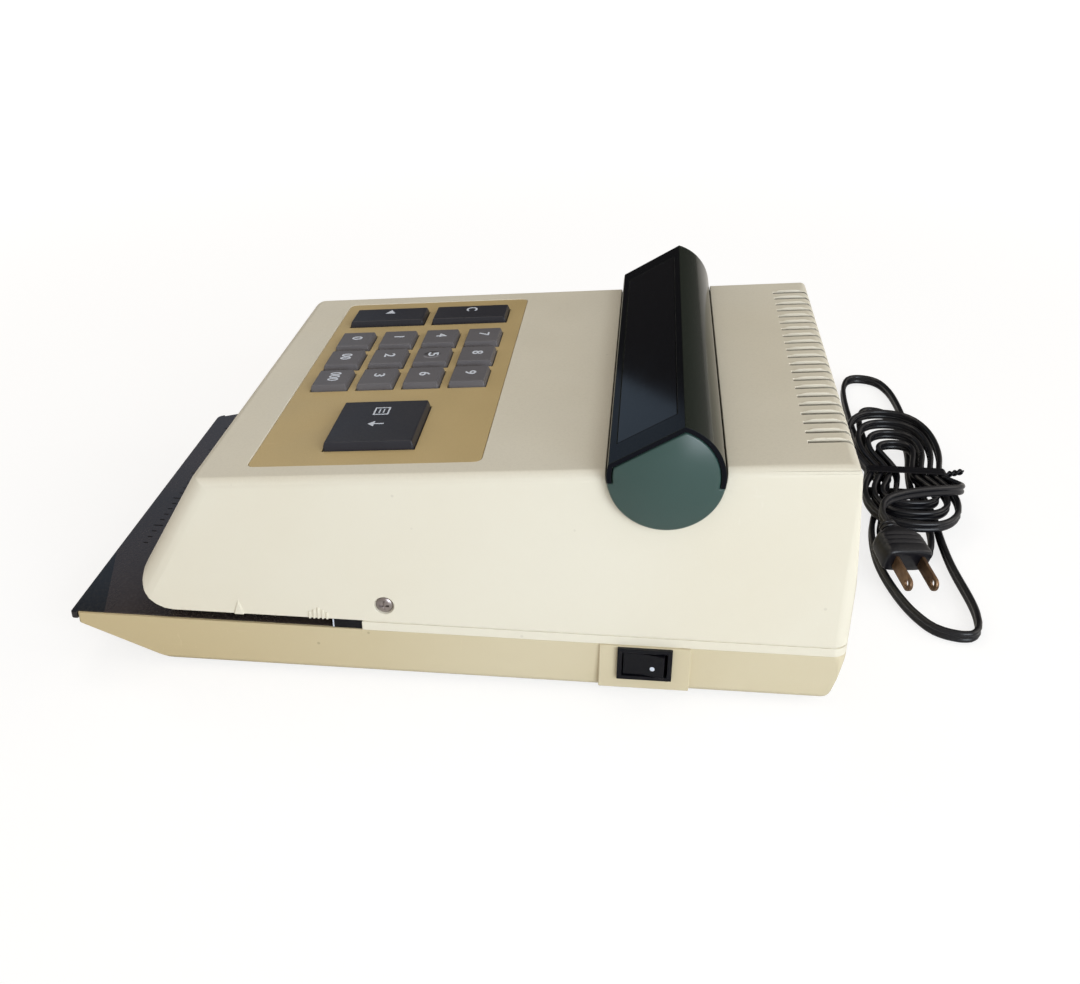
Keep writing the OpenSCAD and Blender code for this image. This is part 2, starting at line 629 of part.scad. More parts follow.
// Spacer rods between the side frames: [y, z, radius]
rods = [[print_y - 14, lever_z, 4], [print_y - type_r + 1.3, ceiling_z + 2.7, 2],
    [lever_y + 12, wheel_z + 12.5, 4], [solenoid_y + 8, wheel_z + 12.5, 4]];
frame_front_y = print_y - type_r - 2;
module frame_plate(x0) difference() {
    side_prism([[print_y - 20, chassis_z], [frame_rear_y, chassis_z], [frame_rear_y, wheel_z + 18],
        [lever_y + 6, wheel_z + 18], [ink_y + 16, ink_z + 6], [ink_y - 24, ink_z + 6],
        [frame_front_y, wheel_z + 10], [frame_front_y, ceiling_z + 0.5],
        [slot_end_y + wall + 0.6, ceiling_z + 0.5], [slot_end_y + wall + 0.6, deck_under - 0.6],
        [print_y - 20, deck_under - 0.6]], x0, x0 + frame_t);
    rod_x(x0 - 1, x0 + frame_t + 1, print_y, wheel_z, type_shaft_d / 2 + fit);
    rod_x(x0 - 1, x0 + frame_t + 1, ink_y, ink_z, 2 + fit);
    rod_x(x0 - 1, x0 + frame_t + 1, lever_y, lever_z, lever_pin_r + fit);
    if (x0 > 0) rod_x(x0 - 1, x0 + frame_t + 1, motor_y, motor_z, 4.5 + fit);
}
module frame_left() color("lightsteelblue") frame_plate(-frame_out);
module frame_right() color("lightsteelblue") frame_plate(frame_in);
module spacer_rods() color("gray") {
    for (p = rods) rod_x(-frame_in, frame_in, p[0], p[1], p[2]);
    rod_x(-frame_out - 1, frame_out + 1, lever_y, lever_z, lever_pin_r);
}

// Printing
module type_wheel() color("dimgray") difference() {
    union() {
        rod_x(wheel_x - type_w / 2, wheel_x + type_w / 2, print_y, wheel_z, type_r - 0.8, $fn = 96);
        rod_x(wheel_x - type_w / 2 - 3, wheel_x + type_w / 2 + 3, print_y, wheel_z, 6);
        for (i = [0 : 11]) translate([wheel_x - type_w / 2 + 1, print_y, wheel_z]) rotate([30 * i + 15, 0, 0])
            translate([0, -2.4, type_r - 2]) cube([type_w - 2, 4.8, 1.85]);
    }
    rod_x(-frame_in, frame_in, print_y, wheel_z, type_shaft_d / 2);
}
module type_shaft() color("silver") {
    rod_x(-frame_out - 3, gear_x + gear_w + 2, print_y, wheel_z, type_shaft_d / 2);
    rod_x(-frame_out - 2.5, -frame_out - 0.3, print_y, wheel_z, type_shaft_d / 2 + 2.5);
}
// Gear with short, slack teeth, in the plane across its axis
module gear_2d(n, bore) difference() {
    union() {
        circle(gear_m * (n / 2 - 0.75), $fn = 72);
        for (i = [0 : n - 1]) rotate(i * 360 / n) polygon([[gear_m * (n / 2 - 1), -gear_m * 0.75],
            [gear_m * (n / 2 + 0.55), -gear_m * 0.3], [gear_m * (n / 2 + 0.55), gear_m * 0.3],
            [gear_m * (n / 2 - 1), gear_m * 0.75]]);
    }
    if (bore > 0) circle(bore);
}
module type_gear() color("goldenrod") difference() {
    union() {
        translate([gear_x, print_y, wheel_z]) rotate([90, 0, 90]) linear_extrude(gear_w)
            rotate(mesh_angle) gear_2d(gear_n, 0);
        rod_x(frame_out + 0.3, gear_x + 0.1, print_y, wheel_z, 6);
    }
    rod_x(0, half_w, print_y, wheel_z, type_shaft_d / 2);
}
module type_motor() color("dimgray") difference() {
    union() {
        rod_x(frame_in - motor_l, frame_in, motor_y, motor_z, motor_r);
        rod_x(frame_in - 0.1, frame_out, motor_y, motor_z, 4.5);
    }
    rod_x(frame_in - motor_l + 1.5, frame_out + 1, motor_y, motor_z, 1.5 + fit);
}
module motor_pinion() color("goldenrod") {
    rod_x(frame_in - motor_l + 2, gear_x + 0.1, motor_y, motor_z, 1.5);
    translate([gear_x, motor_y, motor_z]) rotate([90, 0, 90]) linear_extrude(gear_w)
        rotate(mesh_angle + 180 + 180 / pinion_n) gear_2d(pinion_n, 0);
}
module ink_roller() color([0.1, 0.1, 0.35]) {
    rod_x(wheel_x - type_w / 2 - 2, wheel_x + type_w / 2 + 2, ink_y, ink_z, ink_r);
    rod_x(-frame_out - 1.5, frame_out + 1.5, ink_y, ink_z, 2);
}
lever_half_h = 2.6;
module platen_lever() color("lightgray") difference() {
    union() {
        box([wheel_x - platen_pad / 2, print_y - platen_pad / 2, lever_z - lever_half_h],
            [wheel_x + platen_pad / 2, lever_y, lever_z + lever_half_h]);
        box([wheel_x - platen_pad / 2, print_y - platen_pad / 2, lever_z],
            [wheel_x + platen_pad / 2, print_y + platen_pad / 2, seam_z - 0.2]);
        box([wheel_x - platen_pad / 2, lever_y - 5, lever_z - lever_half_h],
            [6, lever_y + 5, lever_z + lever_half_h]);
        box([-6, lever_y, lever_z - lever_half_h], [6, solenoid_y + 6, lever_z + lever_half_h]);
    }
    rod_x(-frame_in, frame_in, lever_y, lever_z, lever_pin_r + fit);
}
plunger_r = 4;
module press_solenoid() color("peru") difference() {
    union() {
        box([-frame_in, solenoid_y - solenoid_size / 2, solenoid_z],
            [frame_in, solenoid_y + solenoid_size / 2, solenoid_z + 2]);
        box([-solenoid_size / 2, solenoid_y - solenoid_size / 2, solenoid_z],
            [solenoid_size / 2, solenoid_y + solenoid_size / 2, solenoid_z + 34]);
    }
    rod_z(solenoid_z - 1, solenoid_z + 30, 0, solenoid_y, plunger_r + 2 * fit);
}
module solenoid_plunger() color("silver")
    rod_z(lever_z + lever_half_h + 0.3, solenoid_z + 28, 0, solenoid_y, plunger_r);

// Feeding
feed_shaft_r = 1.5;
module feed_motor() color("dimgray") difference() {
    rod_y(feed_motor_y, feed_motor_y + feed_motor_l, feed_x, feed_z, feed_motor_r);
    rod_y(feed_motor_y - 1, feed_motor_y + feed_motor_l - 4, feed_x, feed_z, feed_shaft_r + fit);
}
module feed_roller() color([0.25, 0.25, 0.25]) {
    rod_y(feed_y - feed_w / 2, feed_y + feed_w / 2, feed_x, feed_z, feed_r);
    rod_y(feed_y - feed_w / 2 - 7, feed_motor_y + feed_motor_l - 5, feed_x, feed_z, feed_shaft_r);
}
module feed_ears(z0, z1, reach) for (y = [feed_y - feed_w / 2 - 5.5, feed_y + feed_w / 2 + 2.5])
    box([feed_x - reach, y, z0], [feed_x + reach, y + 3, z1]);
module feed_bracket() color("gainsboro") difference() {
    union() {
        feed_ears(chassis_z, deck_under - 0.3, 5);
        box([feed_x - 5, feed_y - feed_w / 2 - 5.5, chassis_z],
            [feed_x + 5, feed_y + feed_w / 2 + 5.5, chassis_z + 1.5]);
        box([feed_x - 11, feed_motor_y, chassis_z], [feed_x + 11, feed_motor_y + feed_motor_l, feed_z - 4]);
    }
    rod_y(feed_y - 30, feed_y + 20, feed_x, feed_z, feed_shaft_r + fit);
    rod_y(feed_motor_y - 1, feed_motor_y + feed_motor_l + 1, feed_x, feed_z, feed_motor_r + 0.3);
    rod_y(feed_y - feed_w / 2 - 0.5, feed_y + feed_w / 2 + 0.5, feed_x, feed_z, feed_r + 0.6);
}
module feed_idler() color([0.25, 0.25, 0.25]) {
    rod_y(feed_y - feed_w / 2, feed_y + feed_w / 2, feed_x, idler_z, feed_r);
    rod_y(feed_y - feed_w / 2 - 6.5, feed_y + feed_w / 2 + 6.5, feed_x, idler_z, feed_shaft_r);
}
module idler_bracket() color("gainsboro") difference() {
    union() {
        feed_ears(ceiling_z, idler_z + feed_r + 3, feed_r + 2.5);
        translate([0, 0, idler_z + feed_r + 1]) linear_extrude(2) translate([feed_x - feed_r - 2.5,
            feed_y - feed_w / 2 - 5.5]) square([2 * feed_r + 5, feed_w + 11]);
    }
    rod_y(feed_y - 30, feed_y + 30, feed_x, idler_z, feed_shaft_r + fit);
    box([feed_x - feed_shaft_r - fit, feed_y - 30, ceiling_z - 1], [feed_x + feed_shaft_r + fit, feed_y + 30, idler_z]);
}

// Cord: an oval twin cord that lies on edge, swept along a centreline
function lerp(a, b, t) = a + (b - a) * t;
function tangent(path, i) = unit(path[min(i + 1, len(path) - 1)] - path[max(i - 1, 0)]);
function ring(c, t, n) = let (s = unit(cross(t, [0, 0, 1])), u = cross(s, t))
    [for (j = [0 : n - 1]) let (a = 360 * (j + 0.5) / n)
        c + s * cord_t / 2 * cos(a) + u * cord_h / 2 * sin(a)];
module tube(path, n) {
    m = len(path);
    polyhedron([for (i = [0 : m - 1]) each ring(path[i], tangent(path, i), n)],
        [[for (j = [0 : n - 1]) n - 1 - j], for (i = [0 : m - 2], j = [0 : n - 1]) each
            [[i * n + j, i * n + (j + 1) % n, (i + 1) * n + (j + 1) % n],
             [i * n + j, (i + 1) * n + (j + 1) % n, (i + 1) * n + j]],
         [for (j = [0 : n - 1]) (m - 1) * n + j]], convexity = 10);
}
// A smooth curve through points chosen by hand
function smooth(p, k) = [for (i = [0 : len(p) - 2], j = [0 : k - 1]) let (t = j / k,
    a = p[max(i - 1, 0)], b = p[i], c = p[i + 1], d = p[min(i + 2, len(p) - 1)])
    b + (c - a) / 2 * t + (a * 2 - b * 5 + c * 4 - d) / 2 * t * t
    + (b * 3 - a - c * 3 + d) / 2 * t * t * t, p[len(p) - 1]];

// Hank: long narrow loops on the desk, and short ones on them, all drawn in at one waist. Each
// loop runs outside the one before, and its ends reach further out.
hank = [-80, 204];
hank_z = 3.8;
hank_layer = 6;
hank_turns = 5.5;
low_turns = 2;
loop_steps = 24;
loop_step = 4.4;
waist = 2.24;
// Values of the near and of the far end, for the lower and for the upper loops
loop_reach = [[52, 57], [24, 33]];
loop_swell = [[25, 16.5], [23, 18]];
loop_stretch = [[59, 43], [6, 8.5]];
// Where the stretch of a loop begins, as a share of its reach
stretch_from = 0.61;
// The lower loops swing this far towards the case, most at this place
low_swing = 7.8;
swing_x = -15;
swing_half = 75;
function ramp(t) = let (s = max(0, min(1, t))) s * s * (3 - 2 * s);
function loop_base(a, l, e) = [loop_reach[l][e] * cos(a),
    sin(a) * (waist + loop_swell[l][e] * cos(a) * cos(a))];
function hank_point(u) = let (a = 270 - 360 * u, c = cos(a), l = u < low_turns ? 0 : 1,
    e = c > 0 ? 0 : 1, t = abs(u - low_turns), d = unit(loop_base(a + 1, l, e) - loop_base(a - 1, l, e)),
    p = loop_base(a, l, e) + loop_step * t * [d[1], -d[0]],
    out = loop_stretch[l][e] * t * ramp((abs(c) - stretch_from) / (1 - stretch_from)),
    up = ramp(10 * (u - low_turns) + 0.6))
    [hank[0] + p[0] + sign(c) * out, hank[1] + p[1] - (1 - l) * low_swing
         * ramp(1 - abs(hank[0] + p[0] + sign(c) * out - swing_x) / swing_half),
     hank_z + hank_layer * up - (1 - up) * 0.7 * ramp(abs(c) * 2)];
function waist_half(u) = waist + loop_step * abs(u - low_turns);
hank_count = round(hank_turns * loop_steps);
hank_route = [for (i = [0 : hank_count]) hank_point(hank_turns * i / hank_count)];
// The least gap between two stretches of the hank, measured between points along it
hank_fine = [for (i = [0 : hank_count - 1], t = [0 : 0.25 : 0.99]) lerp(hank_route[i], hank_route[i + 1], t)];
function pair_gap(p, q) = max(norm([p[0] - q[0], p[1] - q[1]]) - cord_t, abs(p[2] - q[2]) - cord_h);
function least_gap(pts, apart) = min([for (i = [0 : len(pts) - 1 - apart], j = [i + apart : len(pts) - 1])
    pair_gap(pts[i], pts[j])]);
function path_length(p) = len(p) < 2 ? 0 :
    [for (i = 0, s = 0; i < len(p); i = i + 1, s = s + (i < len(p) ? norm(p[i] - p[i - 1]) : 0)) s][len(p) - 1];

hank_start = hank_route[0];
hank_end = hank_route[hank_count];
joint_gap = 0.3;
lead_points = [[cord_x, relief_end_y + joint_gap, cord_z], [-70, 170.8, 13.6], [-69.8, 174, 11.7],
    [-69.5, 177.2, 8.5], [-69.4, 180.4, 5.1], [-69.8, 184, 3.5], [-71.4, 188.4, 3.3], [-75, 191.9, 3.6],
    hank_start + [joint_gap, 0, 0]];
tail_points = [hank_end + [joint_gap, 0, 0], [-76.6, 222.3, 10], [-73.4, 224.6, 10.6], [-68, 227.6, 12],
    [-60.6, 228.8, 14.2], [-53.6, 225.4, 16.9], [-48.4, 216.6, 19], [-44, 207, 20.2],
    [-39, 197, 21], [-33.6, 188.4, 21.4], [-27, 183.8, 21], [-18.6, 182.4, 20], [-13, 184, 18.6]];
module power_cord_lead() color([0.07, 0.07, 0.09]) tube(smooth(lead_points, 2), 8);
module power_cord_tail() color([0.07, 0.07, 0.09]) tube(smooth(tail_points, 2), 8);
module cord_hank() {
    echo(hank_least_gap = least_gap(hank_fine, 14));
    echo(hank_length = path_length(hank_route));
    color([0.07, 0.07, 0.09]) tube(hank_route, 6);
}
tie_gap = 0.45;
tie_side = 1.7;
tie_t = 0.7;
tie_w = 7;
module cord_tie() color([0.1, 0.1, 0.1]) {
    lo = [hank[1] - waist_half(hank_turns - 0.5) - cord_t / 2 - tie_side, hank_z - cord_h / 2 - tie_gap];
    hi = [hank[1] + waist_half(hank_turns) + cord_t / 2 + tie_side, hank_z + hank_layer + cord_h / 2 + tie_gap];
    difference() {
        side_prism(rounded([[lo[0] - tie_t, lo[1] - tie_t + 0.2, 1.5], [hi[0] + tie_t, lo[1] - tie_t + 0.2, 1.5],
            [hi[0] + tie_t, hi[1] + tie_t, 1.5], [lo[0] - tie_t, hi[1] + tie_t, 1.5]]),
            hank[0] - tie_w / 2, hank[0] + tie_w / 2);
        side_prism([[lo[0], lo[1]], [hi[0], lo[1]], [hi[0], hi[1]], [lo[0], hi[1]]],
            hank[0] - tie_w, hank[0] + tie_w);
    }
}
module cord_strain_relief() color([0.07, 0.07, 0.09]) {
    rod_y(rear_y - 9, rear_y - 0.4, cord_x, cord_z, relief_hole_r - 0.15);
    rod_y(rear_y - 0.5, rear_y + 1.5, cord_x, cord_z, 6);
    translate([cord_x, rear_y + 1.4, cord_z]) rotate([-90, 0, 0])
        cylinder(h = relief_end_y - rear_y - 1.4, r1 = 4.6, r2 = 3.3);
}

// Plug: it begins where the tail ends, and its blades point to the right and down
plug_l = 24;
plug_w = 23;
plug_t = 13;
blade_pitch = 12.7;
module at_plug() translate(tail_points[len(tail_points) - 1]) rotate([0, 0, 16]) rotate([0, 13, 0])
    rotate([-8, 0, 0]) translate([joint_gap, 0, 0]) children();
module plug_body() color([0.07, 0.07, 0.09]) at_plug() intersection() {
    translate([0, 0, -plug_t / 2]) linear_extrude(plug_t) polygon(rounded([[0, -4.5, 1], [10, -plug_w / 2, 5],
        [plug_l, -plug_w / 2, 2], [plug_l, plug_w / 2, 2], [10, plug_w / 2, 5], [0, 4.5, 1]]));
    translate([0, plug_w / 2, 0]) rotate([90, 0, 0]) linear_extrude(plug_w) polygon(rounded([[0, -4, 1],
        [9, -plug_t / 2, 4], [plug_l, -plug_t / 2, 2], [plug_l, plug_t / 2, 2], [9, plug_t / 2, 4], [0, 4, 1]]));
}
module plug_blades() color("peru") at_plug() for (s = [-1, 1])
    translate([plug_l, s * blade_pitch / 2 - 0.75, -3.15]) difference() {
        cube([17, 1.5, 6.3]);
        translate([13.5, -1, 3.15]) rotate([-90, 0, 0]) cylinder(h = 4, r = 1.5);
    }

upper_case();
case_band();
lower_case();
keypad_panel();
paper_table();
paper_stop();
rubber_feet();
case_screws();
color("dimgray") digit(0, 0);  // key_0
color("dimgray") digit(0, 1);  // key_1
color("dimgray") digit(1, 1);  // key_2
color("dimgray") digit(2, 1);  // key_3
color("dimgray") digit(0, 2);  // key_4
color("dimgray") digit(1, 2, dish = true);  // key_5
color("dimgray") digit(2, 2);  // key_6
color("dimgray") digit(0, 3);  // key_7
color("dimgray") digit(1, 3);  // key_8
color("dimgray") digit(2, 3);  // key_9
color("dimgray") digit(1, 0);  // key_00
color("dimgray") digit(2, 0);  // key_000
color([0.15, 0.15, 0.18])  // key_back
    key(wide_key_x, wide_row, key_w, wide_key_l, key_h + 0.2);
color([0.15, 0.15, 0.18])  // key_clear
    key(wide_key_x, wide_row + 2 * key_pitch_y, key_w, wide_key_l, key_h + 0.2);
color([0.15, 0.15, 0.18])  // key_print
    key(print_key_x, first_row + 1.5 * key_pitch_y, print_key_w, wide_key_l, print_key_h);
keypad_board();
key_switches();
display_hood();
display_base();
display_window();
color([0.27, 0.37, 0.35]) display_cap();  // display_cap_right
color([0.27, 0.37, 0.35]) mirror([1, 0, 0]) display_cap();  // display_cap_left
display_module();
display_brackets();
switch_housing();
switch_rocker();
transformer();
main_board();
cord_strain_relief();
power_cord_lead();
cord_hank();
power_cord_tail();
cord_tie();
plug_body();
plug_blades();
chassis_plate();
frame_left();
frame_right();
spacer_rods();
type_wheel();
type_shaft();
type_gear();
type_motor();
motor_pinion();
ink_roller();
platen_lever();
press_solenoid();
solenoid_plunger();
feed_motor();
feed_roller();
feed_idler();
idler_bracket();
feed_bracket();
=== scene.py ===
# %% [markdown]
# # An electronic check writer
# A desk machine that prints an amount on a check: a wedge-shaped case over a black paper table,
# a low keypad on a gold panel, and a display drum that tilts. The solids come from the part's own
# model, which is loaded here as a fixed frame. On top of it this lesson adds softened edges, real
# finishes, and the pieces that are too fine for a solid. Lengths in the tables are millimetres,
# and Blender's are metres.
# %% Load the frame
import json
import math

import bmesh
import bpy
from mathutils import Matrix, Vector
from mathutils.bvhtree import BVHTree


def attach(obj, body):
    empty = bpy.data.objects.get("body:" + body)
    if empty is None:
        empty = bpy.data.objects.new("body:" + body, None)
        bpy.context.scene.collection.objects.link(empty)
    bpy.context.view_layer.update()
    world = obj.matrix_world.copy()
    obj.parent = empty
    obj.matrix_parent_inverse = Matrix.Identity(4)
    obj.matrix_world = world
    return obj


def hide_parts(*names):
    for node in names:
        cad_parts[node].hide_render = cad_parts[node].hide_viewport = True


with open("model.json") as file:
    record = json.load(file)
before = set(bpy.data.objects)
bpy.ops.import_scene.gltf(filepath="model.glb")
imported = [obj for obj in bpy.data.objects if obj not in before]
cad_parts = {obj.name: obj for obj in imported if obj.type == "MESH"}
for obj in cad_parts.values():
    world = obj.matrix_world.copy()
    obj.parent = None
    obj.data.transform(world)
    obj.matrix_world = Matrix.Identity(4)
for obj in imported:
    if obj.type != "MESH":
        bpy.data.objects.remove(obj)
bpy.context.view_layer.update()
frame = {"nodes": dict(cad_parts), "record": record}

NODES = frame["nodes"]
MM = 0.001
SCENE = bpy.context.scene

# %% [markdown]
# ## Camera
# The picture was taken from the operator's right, a little above the top, with the machine's
# front to the left. A camera can be set by eye, but here its place, turn and lens were worked out
# from the straight edges of the case, so the render lies over the picture. A lens is sensor width
# times focal length over image width, both of these in pixels, so no frame size is set here.
# %% Place the camera
CAMERA_AT = Vector((0.4827, 0.0671, 0.2970))
YAW, PITCH, ROLL = 0.085, 0.498, 0.009
FOCAL_PIXELS, IMAGE_WIDTH, SENSOR = 1221, 1080, 36
camera_data = bpy.data.cameras.new("picture_lens")
camera = bpy.data.objects.new("picture_camera", camera_data)
SCENE.collection.objects.link(camera)
ahead = Vector((-math.cos(YAW) * math.cos(PITCH), -math.sin(YAW) * math.cos(PITCH),
                -math.sin(PITCH)))
side = ahead.cross(Vector((0, 0, 1))).normalized()
above = side.cross(ahead)
side, above = (math.cos(ROLL) * side + math.sin(ROLL) * above,
               math.cos(ROLL) * above - math.sin(ROLL) * side)
turned = Matrix((side, above, -ahead)).transposed().to_4x4()
camera.matrix_world = Matrix.Translation(CAMERA_AT) @ turned
camera_data.sensor_width = SENSOR
camera_data.lens = SENSOR * FOCAL_PIXELS / IMAGE_WIDTH
camera_data.clip_start = 0.01
SCENE.camera = camera
print("lens", round(camera_data.lens, 2), "mm")

# %% [markdown]
# ## Keeping a piece
# A mesh becomes a piece when an object shows it. `keep` links that object at the origin, puts its
# finish on, shades it smooth between its sharp edges, hangs it on the empty of the body it rides
# on, and hides the solids it stands for. One helper does this for every piece, so none is
# forgotten.
# %% Keep a piece
def keep(name, mesh, body=None, material=None, replaces=(), smooth=None):
    piece = bpy.data.objects.new(name, mesh)
    SCENE.collection.objects.link(piece)
    if material:
        mesh.materials.clear()
        mesh.materials.append(material)
    if smooth is not None:
        for polygon in mesh.polygons:
            polygon.use_smooth = True
        mesh.set_sharp_from_angle(angle=math.radians(smooth))
    if body:
        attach(piece, body)
    if replaces:
        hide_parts(*replaces)
    return piece


def mesh_of(name, points, faces, edges=()):
    mesh = bpy.data.meshes.new(name)
    mesh.from_pydata(points, list(edges), faces)
    mesh.update()
    return mesh


print("helpers: keep, mesh_of")

# %% [markdown]
# ## Growing a piece with Geometry Nodes
# What repeats, or follows a path, is made by a Geometry Nodes tree on a few seed points. A tree
# could stay live on its object, but then the export would lose its copies, so `grown` sets the
# tree's inputs, reads the result as a plain mesh and throws the seed away. An input is set by its
# identifier, because two inputs may share a name.
# %% Grow a mesh
def seed_object(name, points, edges, vectors):
    mesh = mesh_of(name + "_seed", points, [], edges)
    if vectors:
        layer = mesh.attributes.new("axis", "FLOAT_VECTOR", "POINT")
        layer.data.foreach_set("vector", [c for v in vectors for c in v])
    seed = bpy.data.objects.new(name + "_seed", mesh)
    SCENE.collection.objects.link(seed)
    return seed


def grown(name, tree, values, points, edges=(), vectors=None):
    seed = seed_object(name, points, edges, vectors)
    modifier = seed.modifiers.new("grow", "NODES")
    modifier.node_group = tree
    for item in tree.interface.items_tree:
        if item.item_type == "SOCKET" and item.in_out == "INPUT" and item.name in values:
            modifier[item.identifier] = values[item.name]
    graph = bpy.context.evaluated_depsgraph_get()
    plain = bpy.data.meshes.new_from_object(seed.evaluated_get(graph), depsgraph=graph)
    plain.name = name
    seed.modifiers.remove(modifier)
    bpy.data.objects.remove(seed)
    return plain


print("helpers: seed_object, grown")

# %% [markdown]
# ## Dressing a solid
# A mould never leaves a knife edge: every real edge has a small radius, and that radius catches
# the light. A Bevel modifier would round the edges too, but a solid of the model comes as loose
# triangles. So `dressed` copies it, joins the triangles, bevels the sharp edges and lets the copy
# stand for the solid. Weighted normals then keep the flat faces flat.
# %% Dress a solid
SAME_POINT, SAME_PLANE = 2e-6, math.radians(0.6)
SHARP, SHADED_SHARP = math.radians(33), 42


def merged(node):
    solid = bmesh.new()
    solid.from_mesh(NODES[node].data)
    bmesh.ops.remove_doubles(solid, verts=solid.verts, dist=SAME_POINT)
    bmesh.ops.dissolve_limit(solid, angle_limit=SAME_PLANE, verts=solid.verts, edges=solid.edges)
    return solid


def dressed(node, body, material, edge, steps=2):
    solid = merged(node)
    sharp = [e for e in solid.edges if e.is_manifold and e.calc_face_angle(0) > SHARP]
    bmesh.ops.bevel(solid, geom=sharp, offset=edge * MM, segments=steps, profile=0.5,
                    affect="EDGES", clamp_overlap=False)
    mesh = bpy.data.meshes.new(node + "_moulded")
    solid.to_mesh(mesh)
    solid.free()
    piece = keep(node + "_moulded", mesh, body, material, [node], SHADED_SHARP)
    weighted = piece.modifiers.new("flat faces stay flat", "WEIGHTED_NORMAL")
    weighted.keep_sharp = True
    weighted.weight = 80
    return piece


print("helpers: merged, dressed, sharp above", round(math.degrees(SHARP)), "degrees")

# %% [markdown]
# ## Placing nodes
# A node tree can be drawn by hand in the editor. In a script each node takes a few lines, which
# hides the idea, so `place` does it in one call: it sets the plain settings, and links or fills
# the inputs. The short helpers after it name the nodes that come back most: sums, vectors, ranges,
# mixes and noise.
# %% Place a node
def place(tree, kind, settings=None, inputs=None):
    node = tree.nodes.new(kind)
    for key, value in (settings or {}).items():
        setattr(node, key, value)
    for key, value in (inputs or {}).items():
        if isinstance(value, bpy.types.NodeSocket):
            tree.links.new(value, node.inputs[key])
        else:
            node.inputs[key].default_value = value
    return node


def maths(tree, operation, *values):
    return place(tree, "ShaderNodeMath", {"operation": operation},
                 dict(enumerate(values))).outputs[0]


def vectors(tree, operation, *values):
    node = place(tree, "ShaderNodeVectorMath", {"operation": operation}, dict(enumerate(values)))
    return node.outputs["Value" if operation in ("DOT_PRODUCT", "LENGTH") else "Vector"]


def axes_of(tree, vector):
    return place(tree, "ShaderNodeSeparateXYZ", None, {0: vector}).outputs


def vector_of(tree, *axes):
    return place(tree, "ShaderNodeCombineXYZ", None, dict(enumerate(axes))).outputs[0]


print("helpers: place, maths, vectors, axes_of, vector_of")

# %% [markdown]
# A range turns a value into a mask, a mix lays one colour over another by a mask, and noise gives
# the unevenness that every used surface has. Colours are written as screen values from 0 to 255,
# as a colour picker shows them, and `paint` turns them into the linear values of a shader.
# %% Ranges, mixes and noise
def ranged(tree, value, low, high, to_low=0.0, to_high=1.0, smooth=False):
    kind = {"interpolation_type": "SMOOTHSTEP" if smooth else "LINEAR"}
    return place(tree, "ShaderNodeMapRange", kind,
                 {"Value": value, "From Min": low, "From Max": high,
                  "To Min": to_low, "To Max": to_high}).outputs[0]


def mixed(tree, mask, first, second):
    return place(tree, "ShaderNodeMix", {"data_type": "RGBA"},
                 {0: mask, 6: first, 7: second}).outputs[2]


def noise(tree, position, scale, detail, **more):
    return place(tree, "ShaderNodeTexNoise", None,
                 {"Vector": position, "Scale": scale, "Detail": detail, **more}).outputs[0]


def paint(red, green, blue):
    return tuple(((c / 255 + 0.055) / 1.055) ** 2.4 if c > 10 else c / 255 / 12.92
                 for c in (red, green, blue)) + (1,)


print("helpers: ranged, mixed, noise, paint; mid grey is", round(paint(128, 128, 128)[0], 3))

# %% [markdown]
# ## Shared groups
# Moulded plastic has a fine spark-eroded grain. Old office plastic has also yellowed unevenly,
# carries hair scratches from handling, a little dust on what faces up, and a few dark specks.
# More than one finish uses each effect, so each is a group with named sockets, built once. A group
# gives only a colour, a mask or a normal, and the shader itself stays in the material, so that
# the finish can be baked.
# %% Open a group
def shader_group(name, inputs, output):
    group = bpy.data.node_groups.new(name, "ShaderNodeTree")
    kinds = {"f": "NodeSocketFloat", "v": "NodeSocketVector", "c": "NodeSocketColor"}
    for label, kind in inputs:
        group.interface.new_socket(label, in_out="INPUT", socket_type=kinds[kind])
    group.interface.new_socket(output[0], in_out="OUTPUT", socket_type=kinds[output[1]])
    start = group.nodes.new("NodeGroupInput").outputs
    end = group.nodes.new("NodeGroupOutput").inputs
    return group, start, end


def use(tree, group, **values):
    return place(tree, "ShaderNodeGroup", {"node_tree": group}, values).outputs[0]


print("helpers: shader_group, use")

# %% [markdown]
# Mould grain: the mould's wall is eroded by sparks, which leaves tiny rounded pits, so the gloss of
# the plastic breaks up. A picture of a grain could do it, but noise with soft cells over it needs
# no picture, and one scale sets it from coarse to fine.
# %% Mould grain
grain_group, start, end = shader_group(
    "mould_grain", [("Position", "v"), ("Scale", "f"), ("Depth", "f")], ("Normal", "v"))
fine = noise(grain_group, start["Position"], start["Scale"], 4.0, Roughness=0.65)
pit_scale = maths(grain_group, "MULTIPLY", start["Scale"], 0.7)
pits = place(grain_group, "ShaderNodeTexVoronoi", {"feature": "SMOOTH_F1"},
             {"Vector": start["Position"], "Scale": pit_scale}).outputs["Distance"]
height = maths(grain_group, "ADD", fine, maths(grain_group, "MULTIPLY", pits, 0.8))
bump = place(grain_group, "ShaderNodeBump", None,
             {"Height": height, "Distance": start["Depth"], "Strength": 1.0})
grain_group.links.new(bump.outputs[0], end["Normal"])
print("group", grain_group.name)

# %% [markdown]
# Uneven tone: daylight yellows plastic more in one place than in another. Two paints could be
# blended by hand, but a slow cloud of noise between two near colours gives the same drift on
# every piece, and an amount says how far it goes.
# %% Uneven tone
tone_group, start, end = shader_group(
    "uneven_tone", [("Position", "v"), ("Colour", "c"), ("Other", "c"), ("Scale", "f"),
                    ("Amount", "f")], ("Colour", "c"))
cloud = noise(tone_group, start["Position"], start["Scale"], 5.0, Distortion=0.6)
spread = ranged(tone_group, cloud, 0.36, 0.68, 0.0, start["Amount"])
tone_group.links.new(mixed(tone_group, spread, start["Colour"], start["Other"]), end["Colour"])
print("group", tone_group.name)

